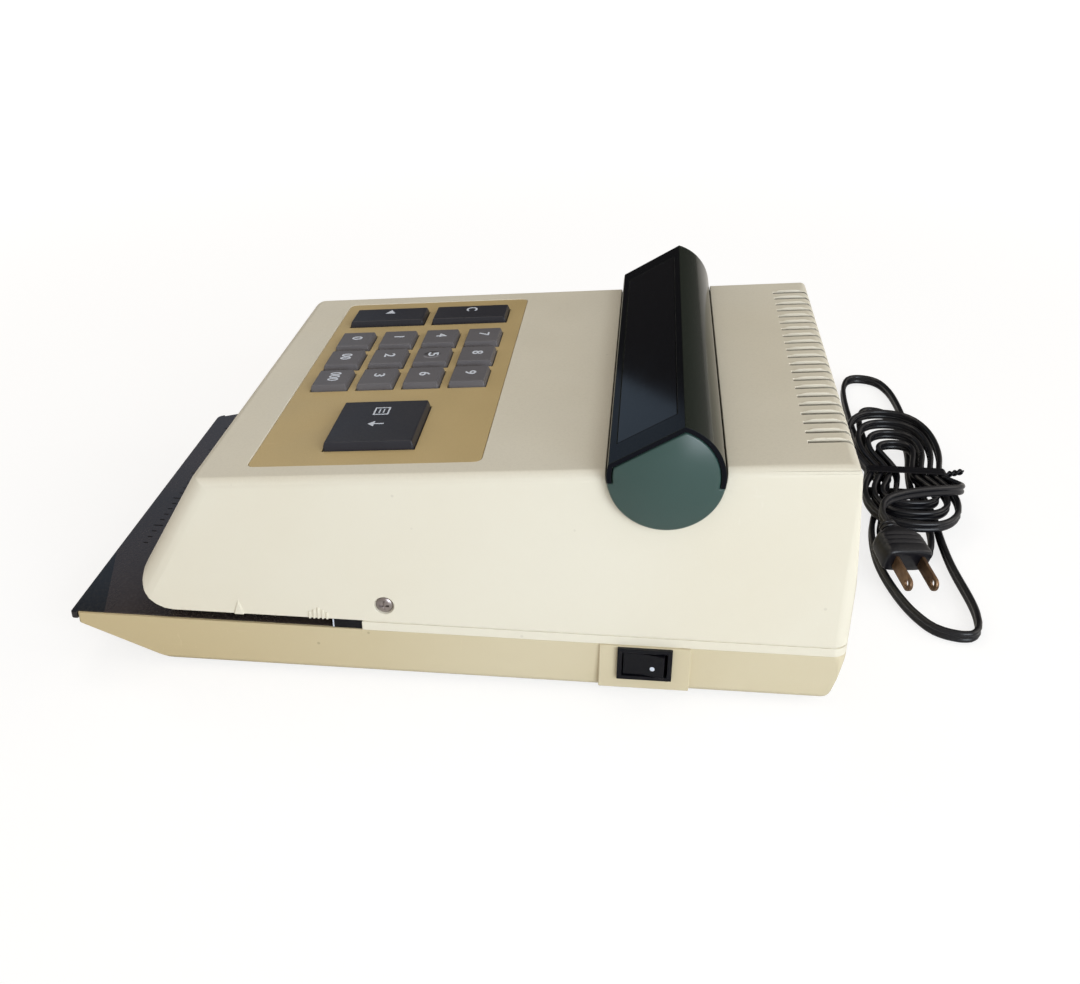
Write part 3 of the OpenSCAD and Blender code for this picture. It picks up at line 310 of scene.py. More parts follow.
# %% [markdown]
# Hair scratches: cleaning and handling leave thin lines in a few patches. Noise that is stretched
# along one direction gives lines, two directions cross, and a second noise keeps them to patches,
# since scratches all over would look like brushed metal.
# %% Hair scratches
SCRATCH_LAYS = (((0.3, 0.2, 0.7), (1.0, 14.0, 3.0)), ((1.1, 0.4, 2.2), (12.0, 1.0, 4.0)))
scratch_group, start, end = shader_group(
    "hair_scratches", [("Position", "v"), ("Scale", "f"), ("Amount", "f")], ("Mask", "f"))
lines = []
for turn, stretch in SCRATCH_LAYS:
    spun = place(scratch_group, "ShaderNodeMapping", None,
                 {"Vector": start["Position"], "Rotation": turn, "Scale": stretch}).outputs[0]
    lines.append(ranged(scratch_group, noise(scratch_group, spun, start["Scale"], 3.0), 0.66, 0.74))
patch = ranged(scratch_group, noise(scratch_group, start["Position"], 22.0, 2.0), 0.5, 0.62)
both = maths(scratch_group, "MULTIPLY", maths(scratch_group, "MAXIMUM", *lines), patch)
scratch_group.links.new(maths(scratch_group, "MULTIPLY", both, start["Amount"]), end["Mask"])
print("group", scratch_group.name)

# %% [markdown]
# Settled dust: dust lies on what faces up, as fine flecks. The surface's own direction says where
# that is, so the same group dusts the top of the case and leaves its sides clean.
# %% Dust on what faces up
dust_group, start, end = shader_group(
    "settled_dust", [("Position", "v"), ("Amount", "f")], ("Mask", "f"))
facing = axes_of(dust_group, place(dust_group, "ShaderNodeNewGeometry").outputs["Normal"])
upward = ranged(dust_group, facing[2], 0.4, 1.0)
flecks = ranged(dust_group, noise(dust_group, start["Position"], 900.0, 6.0, Roughness=0.7),
                0.45, 0.75)
settled = maths(dust_group, "MULTIPLY", upward, flecks)
dust_group.links.new(maths(dust_group, "MULTIPLY", settled, start["Amount"]), end["Mask"])
print("group", dust_group.name)

# %% [markdown]
# Dark specks: a few small spots of dirt and of burnt plastic. Voronoi cells each carry a random
# colour, and only the few cells where it is high keep a dot at their centre, so the dots lie far
# apart and never in rows.
# %% Dark specks
KEPT_CELLS = 0.86
speck_group, start, end = shader_group(
    "specks", [("Position", "v"), ("Scale", "f"), ("Amount", "f")], ("Mask", "f"))
cells = place(speck_group, "ShaderNodeTexVoronoi", None,
              {"Vector": start["Position"], "Scale": start["Scale"]}).outputs
dots = ranged(speck_group, cells["Distance"], 0.07, 0.04)
chance = place(speck_group, "ShaderNodeSeparateColor", None, {0: cells["Color"]}).outputs[0]
few = maths(speck_group, "MULTIPLY", dots, maths(speck_group, "GREATER_THAN", chance, KEPT_CELLS))
speck_group.links.new(maths(speck_group, "MULTIPLY", few, start["Amount"]), end["Mask"])
print("group", speck_group.name)

# %% [markdown]
# ## One recipe for every finish: its colour
# The colour of a finish is laid on in the order in which it comes about: the drifting tone, then
# pale scratches, then dust, then specks. A base function may give the first layer instead of a
# plain colour, where a piece has a pattern of its own.
# %% Layers of colour
SCRATCH_SCALE, SPECK_SCALE = 60.0, 90.0
DUST_COLOUR, SPECK_COLOUR = paint(150, 145, 135), paint(70, 55, 40)


def layered_colour(tree, position, colour, other, tone, marks, dusty, base):
    first = base(tree, position) if base else colour
    layers = use(tree, tone_group, Position=position, Colour=first, Other=other,
                 Scale=float(tone[0]), Amount=tone[1])
    scratch = use(tree, scratch_group, Position=position, Scale=SCRATCH_SCALE, Amount=marks[0])
    speck = use(tree, speck_group, Position=position, Scale=SPECK_SCALE, Amount=marks[1])
    lighter = tuple(min(1, c * 1.5 + 0.03) for c in colour[:3]) + (1,)
    for mask, over in ((scratch, lighter), (dusty, DUST_COLOUR), (speck, SPECK_COLOUR)):
        layers = mixed(tree, mask, layers, over)
    return layers


def uneven_gloss(tree, position, rough, dusty):
    smear = ranged(tree, noise(tree, position, 45.0, 5.0), 0.3, 0.7,
                   rough * 0.88, min(1, rough * 1.14))
    return place(tree, "ShaderNodeMath", {"operation": "MULTIPLY_ADD", "use_clamp": True},
                 {0: dusty, 1: 0.35, 2: smear}).outputs[0]


print("helpers: layered_colour, uneven_gloss")

# %% [markdown]
# ## One recipe for every finish: its shader
# Each material could be drawn on its own, but then one change to the recipe has to be made in all.
# So `finish` builds them all: colour layers, a roughness that fingers and dust change, and the
# grain as the normal. What is the same all over, such as metal or specular, is a plain number on
# the shader's own socket.
# %% The recipe
def blank_material(name):
    material = bpy.data.materials.new(name)
    material.use_nodes = True
    material.node_tree.nodes.clear()
    return material, material.node_tree


def finish(name, colour, other, rough, tone=(9, 0.5), grain=(1400, 0.02), scratches=0.2,
           dust=0.0, specks=0.0, metal=0.0, specular=0.5, base=None, normal=None):
    material, tree = blank_material(name)
    position = place(tree, "ShaderNodeTexCoord").outputs["Object"]
    dusty = use(tree, dust_group, Position=position, Amount=dust)
    layers = layered_colour(tree, position, paint(*colour), paint(*other), tone,
                            (scratches, specks), dusty, base)
    grained = normal(tree, position) if normal else use(
        tree, grain_group, Position=position, Scale=float(grain[0]), Depth=grain[1] * MM)
    shader = place(tree, "ShaderNodeBsdfPrincipled", None,
                   {"Base Color": layers, "Roughness": uneven_gloss(tree, position, rough, dusty),
                    "Metallic": metal, "Specular IOR Level": specular, "Normal": grained})
    place(tree, "ShaderNodeOutputMaterial", None, {"Surface": shader.outputs[0]})
    return material


FINISH = {}
print("helpers: blank_material, finish")

# %% [markdown]
# ## Case finishes: painted shade in the vent slots
# The vents are cut through a thin shell. In the picture their walls are nearly black, since little
# light falls in, and that shade is painted into their colour here. A darker material on those
# faces alone would need them picked out one by one. The walls all lie behind one line, below the
# slope of the top and turned sideways, so four tests on place and direction find them and paint
# them dark.
# %% Ivory with painted shade in the slots
IVORY, SLOT_PAINTED_SHADE = (225, 221, 206), (70, 64, 58)
SLOPE, BELOW_TOP, BEHIND, SLOTS_HALF_WIDTH, SIDEWAYS = -0.0792, 0.0919, 0.1295, 0.09, 0.7


def painted_slot_shade(tree, position):
    x, y, z = axes_of(tree, position)
    turned_x = axes_of(tree, place(tree, "ShaderNodeTexCoord").outputs["Normal"])[0]
    tests = (("LESS_THAN", maths(tree, "MULTIPLY_ADD", y, SLOPE, z), BELOW_TOP),
             ("GREATER_THAN", y, BEHIND),
             ("LESS_THAN", maths(tree, "ABSOLUTE", x), SLOTS_HALF_WIDTH),
             ("GREATER_THAN", maths(tree, "ABSOLUTE", turned_x), SIDEWAYS))
    mask = 1.0
    for kind, value, limit in tests:
        mask = maths(tree, "MULTIPLY", mask, maths(tree, kind, value, limit))
    # painted shade: the slot walls are coloured dark where shade falls in them
    return mixed(tree, mask, paint(*IVORY), paint(*SLOT_PAINTED_SHADE))


FINISH["ivory_plastic"] = finish(
    "ivory_satin", IVORY, (219, 212, 192), 0.42, (7, 0.5), (1500, 0.016),
    scratches=0.05, dust=0.1, specks=0.12, base=painted_slot_shade)
print("finish ivory_plastic")

# %% [markdown]
# ## Case finishes: tan with painted shade at the front
# The lower case is tan, and in the picture it is darker and yellower at the front than at the rear,
# where the light comes from. That shade is painted into the colour: one colour would be wrong at
# both ends, so the colour follows the place along the case.
# %% Tan
TAN_SHADED_FRONT, TAN_REAR, FADE_FROM, FADE_TO = (192, 174, 133), (207, 197, 169), -0.15, 0.04


def tan_painted_shade(tree, position):
    back = ranged(tree, axes_of(tree, position)[1], FADE_FROM, FADE_TO, smooth=True)
    # painted shade: darker and yellower towards the front, away from the light
    return mixed(tree, back, paint(*TAN_SHADED_FRONT), paint(*TAN_REAR))


FINISH["tan_plastic"] = finish(
    "tan_satin", (203, 191, 160), (194, 180, 144), 0.46, (9, 0.5), (1300, 0.02),
    scratches=0.08, dust=0.1, specks=0.3, base=tan_painted_shade)
print("finish tan_plastic")

# %% [markdown]
# ## Gold panel
# The panel under the keys is sheet metal with a gold lacquer. Full metal would mirror the room,
# which lacquer with fine flakes in it doesn't do, so it is a little metallic, and very fine noise
# mixes two golds as the flakes.
# %% Gold lacquer
FLAKE_SCALE = 5200.0


def metal_flake(tree, position):
    flake = ranged(tree, noise(tree, position, FLAKE_SCALE, 3.0, Roughness=0.8), 0.35, 0.65)
    return mixed(tree, flake, paint(212, 190, 140), paint(195, 173, 124))


FINISH["gold_panel"] = finish(
    "gold_lacquer", (205, 183, 135), (197, 172, 118), 0.38, (12, 0.35), (2600, 0.006),
    scratches=0.1, dust=0.05, metal=0.2, base=metal_flake)
print("finish gold_panel")

# %% [markdown]
# ## Black table
# The table is black gloss, and its colour is a painted reflection: brownish where it reflects the
# lit room, and bluish black in a corner that a slanted line across the table splits off. The
# corner could be a thin piece of its own, but it has no thickness to show.
# %% Glossy table
REFLECTION_SLANT, REFLECTION_EDGE = -0.29, -0.1665


def table_painted_reflection(tree, position):
    x, y, _ = axes_of(tree, position)
    slanted = maths(tree, "MULTIPLY_ADD", x, REFLECTION_SLANT, y)
    corner = maths(tree, "LESS_THAN", slanted, REFLECTION_EDGE)
    # painted reflection: brownish over the table, bluish black in the split-off corner
    return mixed(tree, corner, paint(62, 52, 50), paint(13, 13, 17))


FINISH["black_gloss"] = finish(
    "black_gloss_table", (62, 52, 50), (30, 26, 26), 0.13, (14, 0.6), (500, 0.003),
    scratches=0.25, dust=0.08, base=table_painted_reflection)
print("finish black_gloss")

# %% [markdown]
# ## Display drum
# The hood is one glossy moulding, olive black on its round back. The flat that carries the window
# and the rims are painted a darker blue black, as painted shade and reflection on those faces. The
# flat has one direction, so the angle to that direction tells the two apart. The window is smoked
# plastic: nothing behind it shows, so it is dark and opaque here, and its gloss is what makes it a
# window.
# %% Hood and window
WINDOW_FACES = (0, -0.5225, 0.8526)


def hood_painted_shade(tree, position):
    normal = place(tree, "ShaderNodeTexCoord").outputs["Normal"]
    flat = ranged(tree, vectors(tree, "DOT_PRODUCT", normal, WINDOW_FACES), 0.985, 0.995)
    sideways = maths(tree, "ABSOLUTE", vectors(tree, "DOT_PRODUCT", normal, (1, 0, 0)))
    dark = maths(tree, "MAXIMUM", flat, maths(tree, "GREATER_THAN", sideways, 0.8))
    # painted shade and reflection: faces that point one way are coloured darker
    return mixed(tree, dark, paint(36, 41, 36), paint(10, 12, 20))


FINISH["drum_black"] = finish(
    "hood_gloss", (33, 38, 32), (22, 26, 22), 0.1, (10, 0.15), (420, 0.002),
    scratches=0.1, dust=0.03, specular=0.08, base=hood_painted_shade)
FINISH["dark_window"] = finish(
    "smoked_window", (10, 12, 20), (8, 10, 16), 0.08, (6, 0.3), (300, 0.001),
    scratches=0.05, dust=0.02, specular=0.28)
print("finishes drum_black, dark_window")

# %% [markdown]
# The caps at the drum's ends are dull grey green, and crowned by less than a millimetre, so the
# light drifts across them. A crown that low is easier as a normal that leans out from the drum's
# axis than as a rounded mesh. It is turned into world space before the bump, which expects that.
# %% Crowned caps
DRUM_AXIS, CROWN = (0, 0.079, 0.0979), (0.0, 20.0, 20.0)


def domed(tree, position):
    own = place(tree, "ShaderNodeTexCoord").outputs["Normal"]
    radial = vectors(tree, "SUBTRACT", position, DRUM_AXIS)
    leaning = vectors(tree, "ADD", own, vectors(tree, "MULTIPLY", radial, CROWN))
    turned = place(tree, "ShaderNodeVectorTransform",
                   {"vector_type": "NORMAL", "convert_from": "OBJECT", "convert_to": "WORLD"},
                   {0: leaning}).outputs[0]
    return place(tree, "ShaderNodeBump", None,
                 {"Height": noise(tree, position, 1700.0, 4.0), "Distance": 0.000015,
                  "Strength": 1.0, "Normal": turned}).outputs[0]


FINISH["cap_grey_green"] = finish(
    "cap_dull_green", (48, 74, 70), (43, 68, 65), 0.3, (16, 0.6),
    scratches=0.1, dust=0.05, normal=domed)
print("finish cap_grey_green")

# %% [markdown]
# ## Key finishes
# The digit keys are grey and the wide ones nearly black, both satin. Key 5 has a small round dish
# that the middle finger finds. The dish is too shallow to be seen by its form, so its edge is a
# painted shade and highlight: a ring round one point, dark on one side and light on the other, as a
# hollow looks in the light.
# %% Painted shade and highlight of the dish
DISH = (-0.0125, -0.0234, 0.0926)
RING_INSIDE, RING_OUTSIDE, RING_LIGHT = (0.0016, 0.0029), (0.0041, 0.0036), (-0.0012, 0.0026)
KEY_GREY = (100, 99, 104)


def painted_dish_rim(tree, position):
    radial = vectors(tree, "SUBTRACT", position, DISH)
    reach = vectors(tree, "LENGTH", radial)
    ring = maths(tree, "MULTIPLY", ranged(tree, reach, *RING_INSIDE, smooth=True),
                 ranged(tree, reach, *RING_OUTSIDE, smooth=True))
    near = ranged(tree, axes_of(tree, radial)[0], *RING_LIGHT, smooth=True)
    # painted shade on one side of the ring, painted highlight on the other
    edge = mixed(tree, near, paint(34, 33, 36), paint(150, 150, 158))
    return mixed(tree, ring, paint(*KEY_GREY), edge)


for slot, label, base in (("grey_key", "grey_key_satin", None),
                          ("dished_key", "dished_key_satin", painted_dish_rim)):
    FINISH[slot] = finish(label, KEY_GREY, (91, 90, 96), 0.42, (40, 0.4), (1800, 0.016),
                          scratches=0.1, dust=0.05, specular=0.4, base=base)
FINISH["black_key"] = finish(
    "black_key_satin", (44, 45, 53), (39, 40, 47), 0.36, (40, 0.4), (1800, 0.016),
    scratches=0.1, dust=0.05, specular=0.3)
print("finishes grey_key, dished_key, black_key")

# %% [markdown]
# ## Black plastic, rubber and cord
# Three blacks that must not look alike: the switch is satin plastic, feet and sleeve are dull
# rubber with a coarse grain, and the cord is soft vinyl with a long gloss. Roughness and grain
# tell them apart more than colour does.
# %% Blacks
FINISH["black_plastic"] = finish(
    "black_satin", (8, 9, 16), (12, 13, 20), 0.3, (20, 0.5), (1600, 0.012),
    scratches=0.08, dust=0.03, specular=0.2)
FINISH["black_rubber"] = finish(
    "black_rubber", (26, 26, 27), (36, 35, 34), 0.72, (30, 0.6), (900, 0.04),
    scratches=0.1, dust=0.3)
FINISH["cord_black"] = finish(
    "cord_vinyl", (13, 14, 20), (20, 21, 28), 0.3, (25, 0.5), (500, 0.02),
    scratches=0.15, dust=0.05, specular=0.4)
print("finishes black_plastic, black_rubber, cord_black")

# %% [markdown]
# ## Bright metal and inks
# The plug's blades are brass that has tarnished in blotches, and the screws are plated steel. The
# signs are printed in pale ink and the table's marks in dark ink. Ink is a finish too: it lies on
# thin pieces of its own, which stay sharp where a painted mask would blur.
# %% Metal and inks
FINISH["blade_brass"] = finish(
    "tarnished_brass", (138, 110, 84), (96, 74, 58), 0.42, (160, 0.9), (1200, 0.01),
    scratches=0.5, specks=0.4, metal=0.75)
FINISH["screw_steel"] = finish(
    "bright_steel", (168, 160, 158), (122, 114, 114), 0.3, (120, 0.6), (1200, 0.006),
    scratches=0.5, metal=1.0)
# the pale ink also colours the painted highlight on the paper stop
pale_ink_and_highlight = finish("legend_ink_and_highlight", (214, 222, 235), (198, 206, 220), 0.5, (60, 0.5), (2500, 0.004))
dark_ink = finish("mark_ink", (14, 12, 13), (20, 17, 18), 0.5, (60, 0.5), (2500, 0.004),
                  specular=0.1)
print("outside finishes", len(FINISH))

# %% [markdown]
# ## Inside finishes: board and zinc
# The mechanism shows through the slots only as glints, but it is finished too. A circuit board has
# copper tracks under green lacquer, for which brick lines stand in, and zinc plate has a spangle
# of crystals, which are Voronoi cells of two greys.
# %% Board and zinc
def board_tracks(tree, position):
    return place(tree, "ShaderNodeTexBrick", {"offset": 0.5},
                 {"Vector": position, "Color1": paint(24, 92, 44), "Color2": paint(20, 80, 40),
                  "Mortar": paint(52, 128, 66), "Scale": 160.0, "Mortar Size": 0.02}).outputs[0]


def zinc_spangle(tree, position):
    crystals = place(tree, "ShaderNodeTexVoronoi", None, {"Vector": position, "Scale": 160.0})
    shade = place(tree, "ShaderNodeSeparateColor", None, {0: crystals.outputs["Color"]}).outputs[0]
    return mixed(tree, shade, paint(176, 178, 172), paint(205, 206, 196))


FINISH["board_green"] = finish(
    "board_lacquer", (24, 92, 44), (30, 104, 50), 0.35, (40, 0.4), base=board_tracks)
FINISH["zinc_steel"] = finish(
    "zinc_plate", (190, 191, 184), (170, 172, 166), 0.38, (60, 0.4), (900, 0.01),
    scratches=0.3, metal=0.9, base=zinc_spangle)
print("finishes board_green, zinc_steel")

# %% [markdown]
# ## Inside finishes: metals and rollers
# The chassis is aluminium with a brushed face, the transformer's core is dull steel plates, the
# motor is a smooth can, the type wheel is inked steel and the gear is brass. The ink roller is
# felt and the feed rollers are matt rubber. All of them are the recipe with other numbers, so a
# table holds them.
# %% Inner metals and rollers
INNER = (
    ("bare_aluminium", "brushed_aluminium", (205, 206, 208), (188, 190, 192), 0.36, (60, 0.5),
     (1500, 0.01), 0.6, 0.0, 1.0),
    ("core_steel", "core_plates", (120, 116, 110), (98, 92, 86), 0.5, (200, 0.6),
     (700, 0.03), 0.3, 0.0, 0.8),
    ("motor_steel", "motor_can", (150, 150, 150), (128, 128, 128), 0.34, (60, 0.5),
     (1200, 0.01), 0.4, 0.0, 0.9),
    ("type_steel", "type_steel", (120, 120, 122), (92, 90, 94), 0.4, (120, 0.8),
     (900, 0.02), 0.4, 0.8, 0.8),
    ("gear_brass", "gear_brass", (198, 168, 104), (176, 146, 88), 0.3, (90, 0.6),
     (1200, 0.01), 0.4, 0.0, 0.9),
    ("ink_rubber", "inked_felt", (40, 36, 92), (26, 24, 60), 0.85, (300, 0.9),
     (1800, 0.1), 0.2, 0.0, 0.0),
    ("grey_rubber", "roller_rubber", (86, 86, 86), (70, 70, 70), 0.75, (90, 0.6),
     (1300, 0.04), 0.2, 0.0, 0.0),
)
for slot, label, colour, other, rough, tone, grain, scratches, specks, metal in INNER:
    FINISH[slot] = finish(label, colour, other, rough, tone, grain, scratches,
                          specks=specks, metal=metal)
print("inner finishes", len(INNER))

# %% [markdown]
# ## Finishes on the solids
# A solid that no piece replaces stays as it is and shows its own mesh. The record says which slot
# each solid belongs to, so one loop gives every one of them its finish, and the loop can't miss
# one.
# %% Finish every solid
for part in frame["record"]["subparts"]:
    for fitted in NODES[part["node"]].material_slots:
        fitted.material = FINISH[part["material_slot"]]

# %% [markdown]
# ## The mains cord: a hank
# The cord is a flat twin cord of about 1.9 m. It leaves the rear, drops to the desk, is laid up in
# a hank of short and long loops that a tie draws in at the waist, and ends over the hank in its
# plug. The loops could be drawn point by point, but they follow a rule: each turn is an oval with
# a narrow waist, a little larger than the last one. The route repeats the rule and the points of
# the solids, so it can't drift away from them.
# %% Loops of the hank
HANK = (-80.0, 204.0)
HANK_TURNS, LOW_TURNS, STEPS = 5.5, 2, 48
WAIST, LOOP_STEP = 2.24, 4.4
REACH, SWELL, STRETCH = ((52, 57), (24, 33)), ((25, 16.5), (23, 18)), ((59, 43), (6, 8.5))
LITTLE_TURN, LYING, UPPER_RISE, DIP, PULL = 0.0175, 3.8, 6, 0.7, 7.8


def ramp(t):
    t = max(0.0, min(1.0, t))
    return t * t * (3 - 2 * t)


def loop_base(angle, layer, end):
    c, s = math.cos(angle), math.sin(angle)
    return Vector((REACH[layer][end] * c, s * (WAIST + SWELL[layer][end] * c * c)))


def hank_point(turn):
    angle = math.radians(270 - 360 * turn)
    c = math.cos(angle)
    layer, end, out = (0 if turn < LOW_TURNS else 1), (0 if c > 0 else 1), abs(turn - LOW_TURNS)
    d = (loop_base(angle + LITTLE_TURN, layer, end)
         - loop_base(angle - LITTLE_TURN, layer, end)).normalized()
    p = loop_base(angle, layer, end) + LOOP_STEP * out * Vector((d.y, -d.x))
    stretch = STRETCH[layer][end] * out * ramp((abs(c) - 0.61) / 0.39)
    x = HANK[0] + p.x + math.copysign(stretch, c)
    up = ramp(10 * (turn - LOW_TURNS) + 0.6)
    y = HANK[1] + p.y - (1 - layer) * PULL * ramp(1 - abs(x + 15) / 75)
    return Vector((x, y, LYING + UPPER_RISE * up - (1 - up) * DIP * ramp(abs(c) * 2)))


hank = [hank_point(i / STEPS) for i in range(int(HANK_TURNS * STEPS) + 1)]
print("hank", round(sum((a - b).length for a, b in zip(hank, hank[1:])) * MM, 3), "m")

# %% [markdown]
# Before the hank the cord comes straight out of its sleeve and sinks to the desk. After it the
# cord climbs over the turns and ends in the plug. No rule gives these stretches, so they are rows
# of points, the same as in the solids. The plug lies a little turned and tipped on the turns.
# %% Lead and tail
LEAD = ((-70, 155.5, 14), (-70, 161, 14), (-70, 167.8, 14), (-70, 170.8, 13.6),
        (-69.8, 174, 11.7), (-69.5, 177.2, 8.5), (-69.4, 180.4, 5.1), (-69.8, 184, 3.5),
        (-71.4, 188.4, 3.3), (-75, 191.9, 3.6))
TAIL = ((-76.6, 222.3, 10), (-73.4, 224.6, 10.6), (-68, 227.6, 12), (-60.6, 228.8, 14.2),
        (-53.6, 225.4, 16.9), (-48.4, 216.6, 19), (-44, 207, 20.2), (-39, 197, 21),
        (-33.6, 188.4, 21.4), (-27, 183.8, 21), (-18.6, 182.4, 20), (-13, 184, 18.6))
INTO_PLUG = Vector((4, 0, 0))
lead, tail = [Vector(p) for p in LEAD], [Vector(p) for p in TAIL]
PLUG_TURN = (Matrix.Rotation(math.radians(16), 4, "Z") @ Matrix.Rotation(math.radians(13), 4, "Y")
             @ Matrix.Rotation(math.radians(-8), 4, "X"))
plug_start = tail[-1]
tail.append(plug_start + PLUG_TURN @ INTO_PLUG)
print("lead", len(lead), "points, tail", len(tail), "points")


# %% [markdown]
# ## One smooth route
# A cord can't turn a corner. A Bezier curve would be smooth but drifts away from the points, so a
# Catmull-Rom curve runs through them, and is laid out again at equal steps.
# %% Smooth curve and even steps
def smooth_curve(points, parts):
    curve = []
    for i in range(len(points) - 1):
        a, b = points[max(i - 1, 0)], points[i]
        c, d = points[i + 1], points[min(i + 2, len(points) - 1)]
        for j in range(parts):
            t = j / parts
            curve.append(b + (c - a) / 2 * t + (a * 2 - b * 5 + c * 4 - d) / 2 * t * t
                         + (b * 3 - a - c * 3 + d) / 2 * t ** 3)
    return curve + [points[-1]]


def even_steps(points, step):
    lengths = [0.0]
    for a, b in zip(points, points[1:]):
        lengths.append(lengths[-1] + (b - a).length)
    count, k, result = round(lengths[-1] / step), 0, []
    for i in range(count + 1):
        s = lengths[-1] * i / count
        while k < len(points) - 2 and lengths[k + 1] < s:
            k += 1
        part = (s - lengths[k]) / (lengths[k + 1] - lengths[k])
        result.append(points[k].lerp(points[k + 1], part))
    return result


ROUTE_STEP = 1.6
route = even_steps(smooth_curve(lead, 6)[:-1] + smooth_curve([lead[-1]] + hank + [tail[0]], 2)
                   + smooth_curve(tail, 6)[1:], ROUTE_STEP)
print("route", len(route), "points")

# %% [markdown]
# A real cord is stiff, so its small kinks are drawn out. Each point moves towards the middle of its
# neighbours thirty times, but ends at most half a millimetre from where it was, so the turns of
# the hank stay clear of each other.
# %% Relax the route
RELAX_ROUNDS, MOST_MOVE = 30, 0.5
relaxed = list(route)
for _ in range(RELAX_ROUNDS):
    inner = [p * 0.5 + (a + b) * 0.25 for a, p, b in zip(relaxed, relaxed[1:], relaxed[2:])]
    relaxed = [relaxed[0]] + inner + [relaxed[-1]]
route = [r + (p - r) * min(1, MOST_MOVE / max((p - r).length, 1e-6))
         for r, p in zip(route, relaxed)]
cord_route = [p * MM for p in route]


# %% [markdown]
# ## Opening and closing a tree
# Every Geometry Nodes tree here starts with named inputs for its sizes, and ends in the same three
# nodes: copies made real, smooth shading, and the finish. The export drops copies that aren't
# real, so that end is written once, for all trees.
# %% Open and close a tree
def geometry_tree(name, inputs):
    tree = bpy.data.node_groups.new(name, "GeometryNodeTree")
    kinds = {"f": "NodeSocketFloat", "i": "NodeSocketInt", "m": "NodeSocketMaterial",
             "o": "NodeSocketObject", "g": "NodeSocketGeometry"}
    for label, kind in [("Geometry", "g")] + inputs:
        tree.interface.new_socket(label, in_out="INPUT", socket_type=kinds[kind])
    tree.interface.new_socket("Geometry", in_out="OUTPUT", socket_type="NodeSocketGeometry")
    start = tree.nodes.new("NodeGroupInput").outputs
    return tree, start, tree.nodes.new("NodeGroupOutput").inputs


def close_tree(tree, geometry, material, end):
    real = place(tree, "GeometryNodeRealizeInstances", None, {0: geometry})
    smooth = place(tree, "GeometryNodeSetShadeSmooth", None, {0: real.outputs[0]})
    painted = place(tree, "GeometryNodeSetMaterial", None,
                    {0: smooth.outputs[0], "Material": material})
    tree.links.new(painted.outputs[0], end[0])


print("helpers: geometry_tree, close_tree")

# %% [markdown]
# ## The twin section
# Cut across, the cord is two round cores side by side with a web between them, 5.4 by 2.7 mm. A
# curve's bevel can only be round or a drawn profile, so the tree takes a circle of points and
# pushes each out to the twin outline: its height is spread over two cores, and its width follows
# the core that it lies on, or the web in the groove.
# %% Section of the twin cord
twin_tree, start, end = geometry_tree(
    "twin_cord", [("Core radius", "f"), ("Web", "f"), ("Section points", "i"), ("Material", "m")])
WEB_REACH = 0.9
radius = start["Core radius"]
circle = place(twin_tree, "GeometryNodeCurvePrimitiveCircle", None,
               {"Resolution": start["Section points"], "Radius": 1.0})
spot = axes_of(twin_tree, place(twin_tree, "GeometryNodeInputPosition").outputs[0])
tall = maths(twin_tree, "MULTIPLY", maths(twin_tree, "MULTIPLY", spot[1], radius), 2.0)
from_core = maths(twin_tree, "SUBTRACT", maths(twin_tree, "ABSOLUTE", tall), radius)
square = maths(twin_tree, "SUBTRACT", maths(twin_tree, "MULTIPLY", radius, radius),
               maths(twin_tree, "MULTIPLY", from_core, from_core))
thick = maths(twin_tree, "SQRT", maths(twin_tree, "MAXIMUM", square, 0.0))
in_web = maths(twin_tree, "LESS_THAN", maths(twin_tree, "ABSOLUTE", spot[1]), WEB_REACH)
webbed = maths(twin_tree, "MAXIMUM", thick, maths(twin_tree, "MULTIPLY", in_web, start["Web"]))
across = maths(twin_tree, "MULTIPLY", maths(twin_tree, "SIGN", spot[0]), webbed)
outline = place(twin_tree, "GeometryNodeSetPosition", None,
                {0: circle.outputs[0], "Position": vector_of(twin_tree, across, tall)})
print("section drawn by", len(twin_tree.nodes), "nodes")

# %% [markdown]
# The section is swept along the route. The curve's normals are kept level, so the flat cord stands
# on edge all the way and doesn't twist in the turns, as it lies in the picture.
# %% Sweep the cord
line = place(twin_tree, "GeometryNodeMeshToCurve", None, {0: start["Geometry"]})
level = place(twin_tree, "GeometryNodeSetCurveNormal", {"mode": "Z_UP"}, {0: line.outputs[0]})
swept = place(twin_tree, "GeometryNodeCurveToMesh", None,
              {0: level.outputs[0], 1: outline.outputs[0], "Fill Caps": True})
close_tree(twin_tree, swept.outputs[0], start["Material"], end)
cord_mesh = grown("mains_cord", twin_tree,
                  {"Core radius": 1.37 * MM, "Web": 0.5 * MM, "Section points": 22,
                   "Material": FINISH["cord_black"]},
                  cord_route, [(i, i + 1) for i in range(len(cord_route) - 1)])
cord = keep("mains_cord", cord_mesh, "case",
            replaces=["power_cord_lead", "cord_hank", "power_cord_tail"])
print("cord", len(cord_mesh.polygons), "faces, box", [round(c * 1000, 1) for c in cord.dimensions])


# %% [markdown]
# ## Lofts
# Several small pieces are a skin over a row of outlines: the plug, the strap, the lips, the dot. A
# loft joins each outline to the next, and closes the ends or joins the last to the first. Skin
# and Screw modifiers do special cases of this. The normals are then worked out again, so that the
# faces point outwards whichever way the outlines run.
# %% Loft
def loft(name, rings, closed=False):
    n, rows = len(rings[0]), len(rings)
    faces = [(i * n + j, i * n + (j + 1) % n, ((i + 1) % rows) * n + (j + 1) % n,
              ((i + 1) % rows) * n + j)
             for i in range(rows if closed else rows - 1) for j in range(n)]
    if not closed:
        faces += [tuple(reversed(range(n))), tuple(range(n * (rows - 1), n * rows))]
    mesh = mesh_of(name, [p for ring in rings for p in ring], faces)
    solid = bmesh.new()
    solid.from_mesh(mesh)
    bmesh.ops.recalc_face_normals(solid, faces=solid.faces)
    solid.to_mesh(mesh)
    solid.free()
    return mesh


def around(count, k):
    angle = 2 * math.pi * k / count
    return math.cos(angle), math.sin(angle)


print("helpers: loft, around")


